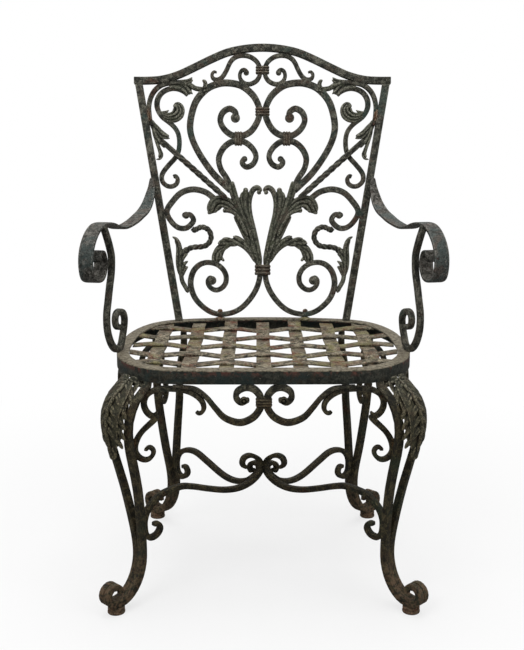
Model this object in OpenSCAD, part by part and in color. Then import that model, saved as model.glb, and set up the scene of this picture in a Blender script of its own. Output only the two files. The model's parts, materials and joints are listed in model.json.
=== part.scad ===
// Wrought iron garden chair. The front faces -Y, the ground is Z = 0, and the
// origin is the middle of the chair's overall box, on the ground.

/* [Seat] */
// Width of the seat over its band
seat_w = 525; // [500:1:550]
// Depth of the seat over its band
seat_d = 434; // [420:1:450]
// Height of the seat's top face
seat_h = 440; // [425:1:455]
// Height of the outer band
band_h = 24; // [20:0.5:28]
// Thickness of the outer band
band_t = 5; // [4:0.5:8]
// Width of the flat rim on top of the band
rim_w = 22; // [20:0.5:26]
// Thickness of the flat rim
rim_t = 4; // [3:0.5:6]
// Width of a woven strap
strap_w = 25.4; // [20:0.2:27]
// Thickness of a woven strap
strap_t = 3; // [2:0.25:4]
// Spacing of the straps that run front to back
long_pitch = 63.5; // [62:0.5:66]
// Spacing of the straps that run across
cross_pitch = 68; // [64:1:72]
// Depth of the hollow in the middle of the seat
dish = 6; // [2:0.5:9]

/* [Back] */
// Height of the arch above the seat, measured along the back
back_rise = 555; // [545:1:570]
// Height of the back's corners above the seat, measured along the back
corner_rise = 489; // [480:1:500]
// Width of the back over its corners
back_top_w = 516; // [500:2:530]
// Width over the stiles where they stand on the seat
back_base_w = 352; // [346:1:360]
// Lean of the back, in degrees from upright
lean = 11; // [9:0.5:13]
// Distance of the back in front of the seat's rear edge
back_in = 33; // [30:1:36]
// Width of a stile
stile_w = 14.6; // [12:0.2:16]
// Width of the top rail
rail_w = 14; // [12:0.2:16]
// Depth of the stiles and the top rail, front to back
frame_d = 14; // [12:0.5:16]
// Width of the heart scrolls
heart_w = 12; // [10:0.2:13]
// Width of the smaller scrolls
scroll_w = 10.6; // [9:0.2:11.4]
// Width of the crest scrolls
crest_w = 9.6; // [8:0.2:10.4]
// Width of the hook bars
hook_w = 8; // [6:0.2:9]
// Depth of the scrollwork, front to back
scroll_d = 11; // [9:0.5:12]
// Depth of the cast leaves, front to back
leaf_d = 12; // [10:0.5:14]

/* [Arms] */
// Height of the arms above the seat
arm_up = 240; // [230:1:250]
// Width of the arm strap
arm_w = 25.4; // [20:0.2:28]
// Thickness of the arm strap
arm_t = 5; // [4:0.5:6]
// Distance of the arm scrolls' middles outside the seat's sides
arm_out = 23.5; // [18:0.5:29]
// Distance of the arm scrolls behind the front of the seat
arm_set = 60; // [55:1:65]
// Width of the arm support's square bar
support_w = 12.7; // [10:0.1:14]
// Distance of the arm support behind the front of the seat
support_set = 150; // [145:1:155]

/* [Legs] */
// Width of a leg's square bar
leg_w = 12.7; // [11:0.1:13.5]
// Distance of the front pads inside the seat's sides
front_foot_in = 4.5; // [2:0.5:7]
// Distance of the rear pads inside the seat's sides
rear_foot_in = 37.5; // [34:0.5:41]
// Distance of the front pads behind the front of the seat
feet_front = 14; // [11:1:17]
// Distance of the rear pads behind the seat's rear edge
feet_behind = 11; // [8:1:14]
// Width of a foot pad
pad_w = 31; // [28:1:34]
// Height of a foot pad
pad_h = 12.5; // [10:0.5:15]
// Thickness of the knee leaf
knee_t = 4; // [3:0.5:5]
// Bow of the knee leaf across its width
leaf_bow = 14; // [11:1:16]
// Width of the front scrolls' bar
apron_w = 10.2; // [8:0.2:11]
// Distance of the front scrolls behind the front of the seat
apron_set = 6; // [5.5:0.5:8]
// Width of the bracket scrolls' bar
bracket_w = 8.4; // [7:0.2:9]
// Distance of the brackets inwards from the outside of the band
bracket_in = 6; // [5:0.5:8]
// Width of the stretchers' bar
stretcher_w = 11.3; // [9:0.1:12]

/* [Hidden] */
// Gap left between pieces that are welded or collared together
gap = 0.3;
// Pieces of a bent bar between two of its drawn points
steps = 5;
// Thickness of a collar's band
collar_t = 2;
// Where the back stands, and where the straps that run across are centred,
// behind the front of the seat
back_set = seat_d - back_in;
cross_mid = seat_d / 2 - 6;
// Straps on each side of the middle one
long_count = floor((seat_w / 2 - rim_w - strap_w / 2) / long_pitch);
cross_count = floor((cross_mid - rim_w - strap_w / 2) / cross_pitch);
// Height of the arms, and the distance between their scrolls
arm_h = seat_h + arm_up;
arm_spread = seat_w + 2 * arm_out;
// Distance of a leg bar's middle from the leg's middle, where the bars meet
near = (leg_w + gap) / 2;
// How far the chair reaches in front of the seat, and its middle front to back
foot_reach = (22.5 + near + leg_w * 0.907) / sqrt(2) - feet_front;
middle = (back_set + back_rise * sin(lean) + frame_d / 2 * cos(lean) - foot_reach) / 2;

// Points between b and c on the smooth curve through a, b, c and d.
function knot(a, b, c, d, t) =
  0.5 * (2 * b + (c - a) * t + (2 * a - 5 * b + 4 * c - d) * t * t + (3 * b - a - 3 * c + d) * t * t * t);

// Smooth path through the points p, with n pieces between two of them.
function curve(p, n = steps) = let (m = len(p) - 1) [
  for (i = [0:m - 1])
    for (k = [0:n - 1])
      knot(i > 0 ? p[i - 1] : 2 * p[0] - p[1], p[i], p[i + 1],
        i + 2 <= m ? p[i + 2] : 2 * p[m] - p[m - 1], k / n),
  p[m]
];

function unit(v) = v / norm(v);

// Direction of a path at its point i.
function heading(q, i) = unit(q[min(i + 1, len(q) - 1)] - q[max(i - 1, 0)]);

// Unit vector to the left of a plane path at its point i.
function left(q, i) = let (h = heading(q, i)) [-h[1], h[0]];

// Half width of a bar at the share t of its length: a taper and a swelling.
function half(w0, w1, swell, t) = (w0 + (w1 - w0) * t) / 2 + swell * sin(180 * t) / 2;

// Half width at a point that is r away from the middle of a round end.
function bulb(h, r, d) = d < r ? max(h, sqrt(r * r - d * d)) : h;

// Signed radius of a plane path's bend at its point i, positive to the left.
function bend(q, i) = i == 0 || i == len(q) - 1 ? 1000 : let (
  a = q[i] - q[i - 1],
  b = q[i + 1] - q[i],
  s = a[0] * b[1] - a[1] * b[0]
) abs(s) < 0.000001 ? 1000 : norm(a) * norm(b) * norm(a + b) / (2 * s);

// Distance from the path to the bar's side s (1 left, -1 right): on the inside
// of a tight bend it stays short of the bend's middle.
function reach(q, i, h, s) = let (r = bend(q, i) * s) r > 0 ? min(h, 0.8 * r) : h;

// Outline of a flat bar along the path q, with a round end of diameter tip.
function outline(q, w0, w1, tip, swell) = let (
  m = len(q) - 1,
  r = max(tip, w1) / 2,
  hs = [for (i = [0:m]) bulb(half(w0, w1, swell, i / m), r, norm(q[i] - q[m]))],
  h = heading(q, m),
  a = atan2(h[1], h[0])
) concat(
  [for (i = [0:m - 1]) q[i] + left(q, i) * reach(q, i, hs[i], 1)],
  [for (k = [0:6]) q[m] + r * [cos(a + 90 - 30 * k), sin(a + 90 - 30 * k)]],
  [for (i = [m - 1:-1:0]) q[i] - left(q, i) * reach(q, i, hs[i], -1)]
);

// Flat bar bent along the points p.
module bar(p, w0, w1, tip = 0, swell = 0) {
  polygon(outline(curve(p), w0, w1, tip, swell));
}

// Solid of a flat shape, d deep about the plane at height z.
module slab(d, z = 0) {
  translate([0, 0, z - d / 2])
    linear_extrude(height = d) children();
}

// The back is drawn on a panel that is 350 wide at the seat, 516 wide at the
// corners 489 up and 555 high in the middle. pan() fits a drawn point to the
// real panel.
function drawn_half(v) = 175 + 83 * v / 489;
function real_half(v) = (back_base_w + (back_top_w - back_base_w) * v / corner_rise) / 2;
function rise(v) = v <= 489
  ? v * corner_rise / 489
  : corner_rise + (v - 489) * (back_rise - corner_rise) / 66;
function pan(p) = [p[0] * real_half(rise(p[1])) / drawn_half(p[1]), rise(p[1])];
function fit(p) = [for (q = p) pan(q)];

// Outline of the seat in plan: half of it, as shares of half width and depth.
rim_half = [
  [0, 0], [0.28, 0], [0.54, 0.004], [0.72, 0.03], [0.86, 0.105], [0.95, 0.2], [0.99, 0.3],
  [1, 0.42], [0.975, 0.65], [0.87, 0.84], [0.69, 0.94], [0.36, 0.985], [0, 1]
];
rim_knots = concat(
  [for (p = rim_half) [p[0] * seat_w / 2, p[1] * seat_d]],
  [for (i = [len(rim_half) - 2:-1:1]) [-rim_half[i][0] * seat_w / 2, rim_half[i][1] * seat_d]]
);
rim_count = len(rim_knots);
rim_path = [
  for (i = [0:rim_count - 1])
    for (k = [0:3])
      knot(rim_knots[(i + rim_count - 1) % rim_count], rim_knots[i], rim_knots[(i + 1) % rim_count],
        rim_knots[(i + 2) % rim_count], k / 4)
];

// The seat's outline moved in by the distance d.
function ring(d) = let (m = len(rim_path)) [
  for (i = [0:m - 1])
    let (h = unit(rim_path[(i + 1) % m] - rim_path[(i + m - 1) % m])) rim_path[i] + [-h[1], h[0]] * d
];

// Half width of a bar at its drawn point i of m.
function half_at(w0, w1, i, m) = (w0 + (w1 - w0) * i / m) / 2;

// The back's flat shapes take a margin e, so that one can be trimmed to
// another with the welding gap between them.

module on_back() {
  translate([0, back_set - middle, seat_h])
    rotate([90 - lean, 0, 0]) children();
}

// Everything from the seat's top face upwards.
module above_seat() {
  intersection() {
    children();
    translate([-400, -400, seat_h + gap]) cube([800, 800, 800]);
  }
}

stile_tilt = atan((back_top_w - back_base_w) / 2 / corner_rise);
stile_across = stile_w / cos(stile_tilt);
stile_top = corner_rise - rail_w - gap;

module stile_shape(e = 0) {
  polygon([
    [-real_half(-8), -8],
    [-real_half(stile_top), stile_top],
    [-real_half(stile_top) + stile_across + e, stile_top],
    [-real_half(-8) + stile_across + e, -8]
  ]);
}

// Upper edge of the top rail, left half, as drawn.
rail_edge = [[-258, 489], [-232, 489], [-204, 491], [-174, 499], [-143, 513], [-106, 531], [-72, 545],
    [-36, 552.5], [0, 555]];

module rail_shape(e = 0) {
  halfway = fit(rail_edge);
  up = curve(concat(halfway, [for (i = [len(halfway) - 2:-1:0]) [-halfway[i][0], halfway[i][1]]]), 4);
  low = [for (i = [0:len(up) - 1]) up[i] - left(up, i) * (rail_w + e)];
  intersection() {
    polygon(concat(up, [for (i = [len(low) - 1:-1:0]) low[i]]));
    translate([-back_top_w / 2, 0]) square([back_top_w, 2 * back_rise]);
  }
}

crest_near = (crest_w + gap) / 2;

module crest_shape(e = 0) {
  bar(concat(
    fit([[-90, 500.5], [-98, 499.5], [-101, 492], [-94, 485.8], [-84, 488.5], [-79, 496], [-73, 505],
      [-65, 519], [-54, 528], [-39, 531.8], [-20, 528], [-8, 517]]),
    [[-crest_near, rise(502)]],
    fit([[-9, 490], [-22, 483], [-34, 485], [-42, 492], [-39, 500.5], [-30, 501]])
  ), crest_w * 0.8 + 2 * e, crest_w * 0.75 + 2 * e, 0, crest_w * 0.23);
}

heart_tip = heart_w * 0.82;
heart_near = half_at(heart_w, heart_tip, 13, 22) + gap / 2;
lobe_v = rise(371.5);
lobe_half = half_at(heart_w, heart_tip, 16, 22);

module heart_shape(e = 0) {
  bar(concat(
    fit([[-64, 262], [-75, 272], [-101, 298], [-128, 337], [-143, 371], [-145, 400], [-135, 438],
      [-115, 463], [-93, 474.5], [-70, 477.5], [-43, 472], [-21, 455], [-10, 437]]),
    [[-heart_near, rise(420)]],
    fit([[-9.5, 402], [-21, 383], [-36, 373], [-51, 371.5], [-64, 374], [-78, 386], [-85, 402],
      [-80, 418], [-66, 426], [-54, 418], [-55, 408]])
  ), heart_w + 2 * e, heart_tip + 2 * e, heart_w + 2 * e);
}

inner_tip = scroll_w * 0.85;
inner_half = half_at(scroll_w, inner_tip, 6, 13);
inner_v = lobe_v - lobe_half - inner_half - gap;

module inner_shape(e = 0) {
  bar(concat(
    fit([[-63, 266], [-72, 286], [-84, 305], [-88, 326], [-80, 345]]),
    [[pan([-66, 357])[0], inner_v - 3.5], [pan([-51, 361])[0], inner_v],
    [pan([-35, 359])[0], inner_v - 2.5]],
    fit([[-20, 346], [-13, 330], [-19, 315], [-32, 309], [-41, 317], [-37, 325]])
  ), scroll_w + 2 * e, inner_tip + 2 * e);
}

module corner_shape(e = 0) {
  bar(fit([[-224, 412], [-226, 433], [-221, 452], [-209, 467], [-191, 474], [-160, 475]]),
    scroll_w * 0.9 + 2 * e, scroll_w * 0.9 + 2 * e);
}

side_near = real_half(rise(221)) - stile_across - gap - half_at(scroll_w, scroll_w * 0.85, 6, 12);

module side_shape(e = 0) {
  bar(concat(
    fit([[-86, 236], [-99, 247], [-116, 259], [-140, 264], [-163, 257.5], [-180, 241]]),
    [[-side_near, rise(220)]],
    fit([[-184, 200], [-169, 187], [-152, 187], [-139, 201], [-145, 212.5], [-156, 212]])
  ), scroll_w + 2 * e, scroll_w * 0.85 + 2 * e, scroll_w + 2 * e);
}

base_near = (scroll_w + gap) / 2;

module base_shape(e = 0) {
  bar(concat(
    [[-base_near, rise(106)], [-base_near, rise(94)]],
    fit([[-13, 63], [-34, 34], [-58, 18], [-86, 12.5], [-115, 19], [-136, 40], [-145, 67], [-141, 91],
      [-129, 108], [-108, 116], [-87, 109], [-76, 92], [-79, 75], [-91, 68], [-103, 76]])
  ), scroll_w + 2 * e, scroll_w * 0.9 + 2 * e, scroll_w * 1.3 + 2 * e);
}

module hook_shape(e = 0) {
  bar(fit([[-148, 179], [-129, 180.5], [-117, 180], [-109, 173], [-108, 163], [-114, 153],
    [-128, 147], [-146, 144], [-164, 140]]),
    hook_w + 2 * e, hook_w * 1.3 + 2 * e);
}

module corner_s_shape(e = 0) {
  bar(fit([[-146, 448], [-156, 456], [-167, 463], [-181, 465], [-199, 458], [-211, 445], [-214, 431],
    [-208, 417], [-196, 404], [-184, 396], [-174, 387], [-168, 375], [-166, 362], [-169, 346],
    [-176, 330], [-185, 319], [-195, 308], [-201, 294], [-199, 281], [-189, 272], [-176, 272],
    [-169, 282], [-175, 291]]),
    scroll_w * 0.9 + 2 * e, scroll_w * 0.75 + 2 * e);
}

// Lobe of a cast leaf: a bar that swells along the points p.
module lobe(p, w, e = 0, tip = 4) {
  bar(fit(p), w * 0.35 + 2 * e, tip + 2 * e, 0, w * 0.7);
}

module stem_shape(e = 0) {
  bar(fit([[-5.5, 108], [-15, 138], [-28, 172], [-40, 205],
    [-46, 226]]), scroll_w + 2 * e, 20 + 2 * e, 0, 5);
  bar(concat(fit([[-18, 150], [-24, 200], [-27, 232], [-24, 252],
    [-14.5, 263]]), [[-(10 + gap) / 2, rise(259)]]),
    12 + 2 * e, 7 + 2 * e, 10 + 2 * e);
  lobe([[-26, 180], [-34, 220], [-35, 245], [-30, 263]], 17, e);
  lobe([[-34, 190], [-47, 228], [-57, 255], [-62, 277]], 18, e);
  lobe([[-30, 180], [-46, 216], [-68, 237], [-90, 239], [-103, 230], [-104, 217]], 24, e, 9);
  lobe([[-36, 185], [-50, 208], [-64, 218], [-77, 220]], 12, e);
}

module base_leaf_shape(e = 0) {
  lobe([[-12, 118], [-26, 142], [-44, 158], [-64, 160], [-82, 150], [-89, 134], [-84, 121]], 20, e, 6);
  lobe([[-24, 142], [-40, 160], [-58, 168], [-72, 162]], 12, e);
  lobe([[-60, 160], [-80, 158], [-94, 146], [-96, 134]], 12, e);
}

module side_leaf_shape(e = 0) {
  lobe([[-143, 40], [-149, 56], [-160, 76], [-167, 102], [-169, 131], [-173, 152], [-183, 166]], 17, e);
  lobe([[-160, 82], [-160, 104], [-155, 114], [-149, 117]], 9, e);
  lobe([[-164, 104], [-163, 122], [-157, 131], [-149, 135]], 9, e);
}

module bar_leaf_shape(e = 0) {
  lobe([[-219, 418], [-216, 396], [-206, 378], [-194, 368], [-184, 368]], 17, e);
  lobe([[-217, 404], [-213, 372], [-210, 345], [-211, 326]], 16, e);
  lobe([[-216, 400], [-208, 374], [-198, 355], [-191, 347]], 14, e, 8);
}

module volute_leaf_shape(e = 0) {
  lobe([[-183, 402], [-170, 405], [-160, 414], [-158, 427], [-166, 437], [-177, 435],
    [-181, 427]], 13, e, 5);
  lobe([[-186, 405], [-190, 413], [-190, 423]], 9, e, 3);
}

module corner_leaf_shape(e = 0) {
  lobe([[-176, 474], [-162, 478], [-150, 484], [-138, 489]], 13, e);
  lobe([[-174, 472], [-160, 470], [-149, 462], [-146, 453]], 12, e);
  lobe([[-168, 473], [-150, 473], [-134, 470], [-122, 467], [-116, 464]], 10, e, 6);
  lobe([[-124, 467], [-120, 474], [-120, 484]], 7, e, 3);
  lobe([[-124, 466], [-117, 459], [-114, 452]], 7, e, 3);
}

module top_rail() {
  color("#2c3028") on_back() slab(frame_d) rail_shape();
}

module stile() {
  color("#2c3028") above_seat() on_back() slab(frame_d) stile_shape();
}

module crest_scroll() {
  color("#33352b") on_back() slab(scroll_d) difference() {
    crest_shape();
    rail_shape(gap);
  }
}

module heart_scroll() {
  color("#2f3229") on_back() slab(scroll_d) difference() {
    heart_shape();
    stem_shape(gap);
    crest_shape(gap);
  }
}

module inner_scroll() {
  color("#2f3229") on_back() slab(scroll_d) difference() {
    inner_shape();
    stem_shape(gap);
    heart_shape(gap);
  }
}

module corner_scroll() {
  color("#2f3229") on_back() slab(scroll_d) difference() {
    corner_shape();
    rail_shape(gap);
    stile_shape(gap);
    corner_leaf_shape(gap);
    bar_leaf_shape(gap);
  }
}

module side_scroll() {
  color("#2f3229") on_back() slab(scroll_d) difference() {
    side_shape();
    stem_shape(gap);
    stile_shape(gap);
  }
}

module base_scroll() {
  color("#2f3229") on_back() slab(scroll_d) difference() {
    base_shape();
    stem_shape(gap);
  }
}

module hook_bar() {
  color("#343528") on_back() slab(scroll_d * 0.8) difference() {
    hook_shape();
    side_shape(gap);
    side_leaf_shape(gap);
  }
}

module corner_s() {
  color("#2f3229") on_back() slab(scroll_d * 0.7, -scroll_d * 0.35 - gap / 2) difference() {
    corner_s_shape();
    corner_leaf_shape(gap);
    volute_leaf_shape(gap);
    stile_shape(gap);
  }
}

module stem_leaf() {
  color("#3a3b2e") on_back() slab(leaf_d) stem_shape();
}

module base_leaf() {
  color("#3a3b2e") on_back() slab(leaf_d) difference() {
    base_leaf_shape();
    stem_shape(gap);
    base_shape(gap);
  }
}

module side_leaf() {
  color("#3a3b2e") on_back() slab(leaf_d * 0.8) difference() {
    side_leaf_shape();
    base_shape(gap);
    stile_shape(gap);
  }
}

module bar_leaf() {
  color("#3a3b2e") on_back() slab(leaf_d) difference() {
    bar_leaf_shape();
    stile_shape(gap);
    corner_s_shape(gap);
  }
}

module volute_leaf() {
  color("#3a3b2e") on_back() slab(leaf_d) difference() {
    volute_leaf_shape();
    stile_shape(gap);
  }
}

module corner_leaf() {
  color("#3a3b2e") on_back() slab(leaf_d) difference() {
    corner_leaf_shape();
    heart_shape(gap);
    rail_shape(gap);
    crest_shape(gap);
  }
}

// Square bar w by w along the path q in space. Its sides lie along the
// direction side and are turned about the bar by the angles in turns.
function corners(q, i, w, side, turn) = let (
  h = heading(q, i),
  a = unit(cross(h, side)),
  b = cross(a, h)
) [for (k = [0:3]) q[i] + w / sqrt(2) * (a * cos(45 + 90 * k + turn) + b * sin(45 + 90 * k + turn))];

module square_bar(q, ws, side, turns) {
  m = len(q) - 1;
  polyhedron(
    points = [for (i = [0:m]) for (c = corners(q, i, ws[i], side, turns[i])) c],
    faces = concat(
      [[2, 1, 0], [3, 2, 0], [4 * m, 4 * m + 1, 4 * m + 2], [4 * m, 4 * m + 2, 4 * m + 3]],
      [for (i = [0:m - 1]) for (k = [0:3]) for (f = [
        [4 * i + k, 4 * i + (k + 1) % 4, 4 * i + 4 + k],
        [4 * i + (k + 1) % 4, 4 * i + 4 + (k + 1) % 4, 4 * i + 4 + k]
      ]) f]
    )
  );
}

twist_w = scroll_w * 0.9;

module twisted_bar() {
  a = pan([-200, 357]);
  d = pan([-95, 264]);
  m = 30;
  line = [for (i = [0:m]) let (p = a + (d - a) * i / m) [p[0], p[1], (twist_w + gap) / sqrt(2)]];
  color("#2f3229") on_back() difference() {
    square_bar(line, [for (i = [0:m]) twist_w], [0, 0, 1],
      [for (i = [0:m]) 540 * max(0, min(1, (i / m - 0.28) / 0.6))]);
    slab(40) stem_shape(gap);
    slab(40) bar_leaf_shape(gap);
  }
}

// Collar of two bands round a pair of bars that run up the back.
module collar(u, v, wide, deep, tall) {
  translate([u, v, 0]) rotate([90, 0, 0])
    for (s = [-1, 1])
      translate([0, 0, s * (tall + gap) / 4])
        linear_extrude(height = (tall - gap) / 2, center = true)
          difference() {
            square([wide + 2 * collar_t, deep + 2 * collar_t], center = true);
            square([wide, deep], center = true);
          }
}

module back_collars() {
  slack = 0.6;
  color("#4a4a3c") on_back() {
    collar(0, rise(502), 4 * crest_near + 2 * slack, scroll_d + gap, 7);
    collar(0, rise(420), 4 * heart_near + 2 * slack, scroll_d + gap, 8);
    collar(0, rise(102), 4 * base_near + 2 * slack, max(scroll_d, leaf_d) + gap, 10);
    for (s = [-1, 1])
      translate([s * pan([51, 366])[0],
        (lobe_v + lobe_half + inner_v - inner_half) / 2, 0]) rotate([0, 0, 90])
        collar(0, 0, lobe_v + lobe_half - inner_v + inner_half + 2 * slack, scroll_d + gap, 8);
  }
}

boss_r = 4.5;

module back_bosses() {
  top = pan([-86, 12.5 + 5.3 + gap]);
  color("#5a3a2c") for (s = [-1, 1]) {
    on_back() translate([s * -top[0], top[1] + 0.4, 0]) rotate([-90, 0, 0])
      rotate_extrude() polygon([[0, 0], [boss_r, 0], [boss_r, 1], [boss_r * 0.7, 3], [0, 3.6]]);
    above_seat() on_back() slab(scroll_d) difference() {
      translate([s * -top[0] - 9, -6]) square([18, 18]);
      scale([-s, 1]) base_shape(gap);
      translate([s * -top[0] - 20, 12]) square([40, 30]);
    }
  }
}

module plan(h) {
  translate([0, -middle, h]) children();
}

module seat_frame() {
  color("#26302a") plan(seat_h - band_h) difference() {
    linear_extrude(height = band_h) polygon(ring(0));
    translate([0, 0, -1]) linear_extrude(height = band_h - rim_t + 1) polygon(ring(band_t));
    linear_extrude(height = band_h + 1) polygon(ring(rim_w));
  }
}

weave = strap_t * 0.5 + 1.1;

// Height of the seat's hollow below its edge.
function hollow(x, y) =
  -dish * max(0, 1 - pow(2 * x / (seat_w - 2 * rim_w), 2)) * max(0, 1 - pow(2 * y / seat_d - 1, 2));

// Side view of a woven strap: a band along the points of line.
module strap_side(line) {
  n = len(line) - 1;
  polygon(concat([for (p = line) p + [0, strap_t / 2]], [for (i = [n:-1:0]) line[i] - [0, strap_t / 2]]));
}

// Everything inside the seat's rim.
module inside_rim() {
  intersection() {
    children();
    translate([0, 0, -60]) linear_extrude(height = 60) polygon(ring(rim_w + gap));
  }
}

function wave(s, pitch, over) = -strap_t / 2 - weave + over * weave * cos(180 * s / pitch);

module long_straps() {
  color("#6a6a50") plan(seat_h) inside_rim()
    for (i = [-long_count:long_count]) {
      x = i * long_pitch;
      translate([x - strap_w / 2, 0, 0]) rotate([90, 0, 90]) linear_extrude(height = strap_w)
        strap_side([for (k = [0:48]) let (y = seat_d * k / 48)
          [y, wave(y - cross_mid, cross_pitch, i % 2 == 0 ? 1 : -1) + hollow(x, y)]]);
    }
}

module cross_straps() {
  color("#64644c") plan(seat_h) inside_rim()
    for (j = [-cross_count:cross_count]) {
      y = cross_mid + j * cross_pitch;
      translate([0, y + strap_w / 2, 0]) rotate([90, 0, 0]) linear_extrude(height = strap_w)
        strap_side([for (k = [0:56]) let (x = seat_w * (k / 56 - 0.5))
          [x, wave(x, long_pitch, j % 2 == 0 ? -1 : 1) + hollow(x, y)]]);
    }
}

// Flat shape stood upright over the line from a to b in plan.
module upright(a, b) {
  translate([a[0], a[1] - middle, 0])
    rotate([0, 0, atan2(b[1] - a[1], b[0] - a[0])])
      rotate([90, 0, 0]) children();
}

// Middle line of the left arm, from the middle of its scroll to the stile.
arm_v = 287;
arm_rise = arm_v * cos(lean);
arm_from = [-arm_spread / 2, arm_set];
arm_to = [
  -real_half(arm_v) + 2,
  back_set + arm_rise * tan(lean) - (frame_d / 2 + gap + arm_t / 2) / cos(lean)
];
arm_long = norm(arm_to - arm_from);
arm_end = seat_h + arm_rise;

module arm_shape(e = 0) {
  s = arm_long;
  z = arm_h;
  bar([
    [s, arm_end], [s - 4, arm_end - 17], [s - 15, z + 12], [s - 37, z - 6], [s - 70, z - 20],
    [s - 110, z - 28],
    [s - 150, z - 33], [180, z - 35], [139, z - 27], [97, z - 12], [64, z - 4], [32, z - 3], [3, z - 12],
    [-20, z - 28], [-34, z - 50], [-35, z - 74], [-24, z - 94], [0, z - 104], [24, z - 103], [41, z - 90],
    [45, z - 72], [37, z - 57], [23, z - 53], [13, z - 61], [16, z - 71]
  ], arm_t + 2 * e, arm_t + 2 * e);
}

// The strap narrows in plan over its last stretch, up to the stile.
arm_taper = 62;
arm_tail = 8;

module arm_plan() {
  far = arm_long + arm_t;
  polygon([
    [-arm_spread, -arm_w], [arm_long - arm_taper, -arm_w / 2], [far, -arm_tail / 2],
    [far, arm_tail / 2], [arm_long - arm_taper, arm_w / 2], [-arm_spread, arm_w]
  ]);
}

module arm() {
  color("#3b3430") intersection() {
    upright(arm_from, arm_to) slab(arm_w) arm_shape();
    upright(arm_from, arm_to) rotate([-90, 0, 0]) linear_extrude(height = 2 * arm_end) arm_plan();
  }
}

// The support stands on the rim and meets the arm near the front.
support_from = [-(seat_w / 2 - rim_w / 2 - 3), support_set];
support_to = arm_from + unit(arm_to - arm_from) * 35;
support_reach = norm(support_to - support_from);
support_foot = seat_h + gap + support_w / 2;

module arm_support() {
  t = support_reach;
  f = support_foot;
  k = (arm_h - 3 - f) / 230;
  color("#2f3229") difference() {
    upright(support_from, support_to) slab(support_w)
      bar([
        [t, f + 230 * k], [t - 3, f + 216 * k], [t - 17, f + 194 * k], [t - 29, f + 168 * k],
        [t - 30, f + 142 * k],
        [t - 19, f + 116 * k], [t - 8, f + 90 * k], [t - 3, f + 64 * k], [t - 8, f + 40 * k],
        [37, f + 14 * k],
        [19, f], [-1, f + 9 * k], [-13, f + 27 * k], [-13, f + 49 * k], [2, f + 66 * k], [20, f + 66 * k],
        [31, f + 54 * k], [26, f + 40 * k]
      ], support_w, support_w * 0.85, support_w);
    upright(arm_from, arm_to) slab(arm_w * 2) arm_shape(gap);
  }
}

// Pads stand under the foot scrolls. Right-hand pads, in plan.
front_pad = [seat_w / 2 - front_foot_in, feet_front];
rear_pad = [seat_w / 2 - rear_foot_in, seat_d + feet_behind];
foot_z = pad_h + 1.5 * gap + leg_w / 2;
under_band = seat_h - band_h - gap;
knee = under_band - 416;

// Rim points, counted along the outline from the front middle, over which
// the legs stand.
front_seats = [13, 19];
rear_seats = [41, 37];

// Path of a leg bar. The rows of shape are the distance inwards from the pad,
// the distance to the side and the height; end is where it meets the seat,
// and pull is how much of its upper part leans over to that place.
function leg_path(end, pad, inward, side, shape, pull) = let (
  first = pad + shape[0][0] * inward + shape[0][1] * side,
  top = shape[0][2] - 200
) curve(concat(
  [[end[0], end[1], under_band + 10], [end[0], end[1], under_band - 8]],
  [for (r = shape) let (
    p = pad + r[0] * inward + r[1] * side + (end - first) * pull * pow(max(0, r[2] - 200) / top, 1.5)
  ) [p[0], p[1], r[2]]]
), 2);

foot_rows = [
  [55.5, near, 100], [54, near, 78], [47, near, 55], [35, near, 36], [20, near, foot_z + 4.5],
  [5, near, foot_z],
  [-9, near, foot_z + 0.7], [-19, near, foot_z + 7], [-22.5, near, foot_z + 17], [-19, near, foot_z + 27],
  [-10, near, foot_z + 32.5], [-1, near, foot_z + 31], [4.5, near, foot_z + 24.5],
  [5, near, foot_z + 17.5]
];
front_rows = concat([
  [30, 33, knee + 386], [17, 28, knee + 348], [18, 25.5, knee + 310], [27, 23.3, 270], [39, 19, 221],
  [48, 13, 170], [53.5, near + 1.5, 128]
], foot_rows);
rear_rows = concat([
  [54, 35, knee + 386], [47, 32, knee + 348], [45, 29.5, knee + 310], [46, 27.5, 270], [47, 21.5, 221],
  [49.5, 14.5, 170], [53, near + 1.5, 128]
], foot_rows);

module leg_bar(end, pad, inward, side, rows, pull = 0) {
  q = leg_path(end, pad, inward, side, rows, pull);
  m = len(q) - 1;
  a = side[0] * inward[1] - side[1] * inward[0] > 0 ? 45 : -45;
  difference() {
    translate([0, -middle, 0]) square_bar(
      q,
      [for (i = [0:m]) leg_w * (i / m < 0.68 ? 1 : 1 - (i / m - 0.68))],
      [side[0], side[1], 0],
      [for (i = [0:m]) a * max(0, 1 - i / 16)]
    );
    translate([-400, -400, under_band]) cube([800, 800, 40]);
  }
}

module front_leg() {
  color("#2b2d26") {
    leg_bar(ring(leg_w / 2)[front_seats[0]], front_pad, [-1, 1] / sqrt(2), [-1, -1] / sqrt(2), front_rows);
    leg_bar(ring(leg_w / 2)[front_seats[1]], front_pad, [-1, 1] / sqrt(2), [1, 1] / sqrt(2), front_rows);
  }
}

module rear_leg() {
  color("#2b2d26") {
    leg_bar(ring(leg_w / 2)[rear_seats[0]], rear_pad, [-1, -1] / sqrt(2), [-1, 1] / sqrt(2), rear_rows, 0.9);
    leg_bar(ring(leg_w / 2)[rear_seats[1]], rear_pad, [-1, -1] / sqrt(2), [1, -1] / sqrt(2), rear_rows, 0.9);
  }
}

module foot_pads() {
  r = pad_w / 2;
  color("#4a3a30")
    for (p = [front_pad, rear_pad])
      for (s = [-1, 1])
        translate([s * p[0], p[1] - middle, 0]) rotate_extrude()
          polygon([[0, 0], [r - 1, 0], [r, 1.5], [r, 4.5], [r - 1.5, 5.5], [r - 0.5, 7],
            [r - 0.5, pad_h - 1], [r - 1.5, pad_h], [0, pad_h]]);
}

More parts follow.
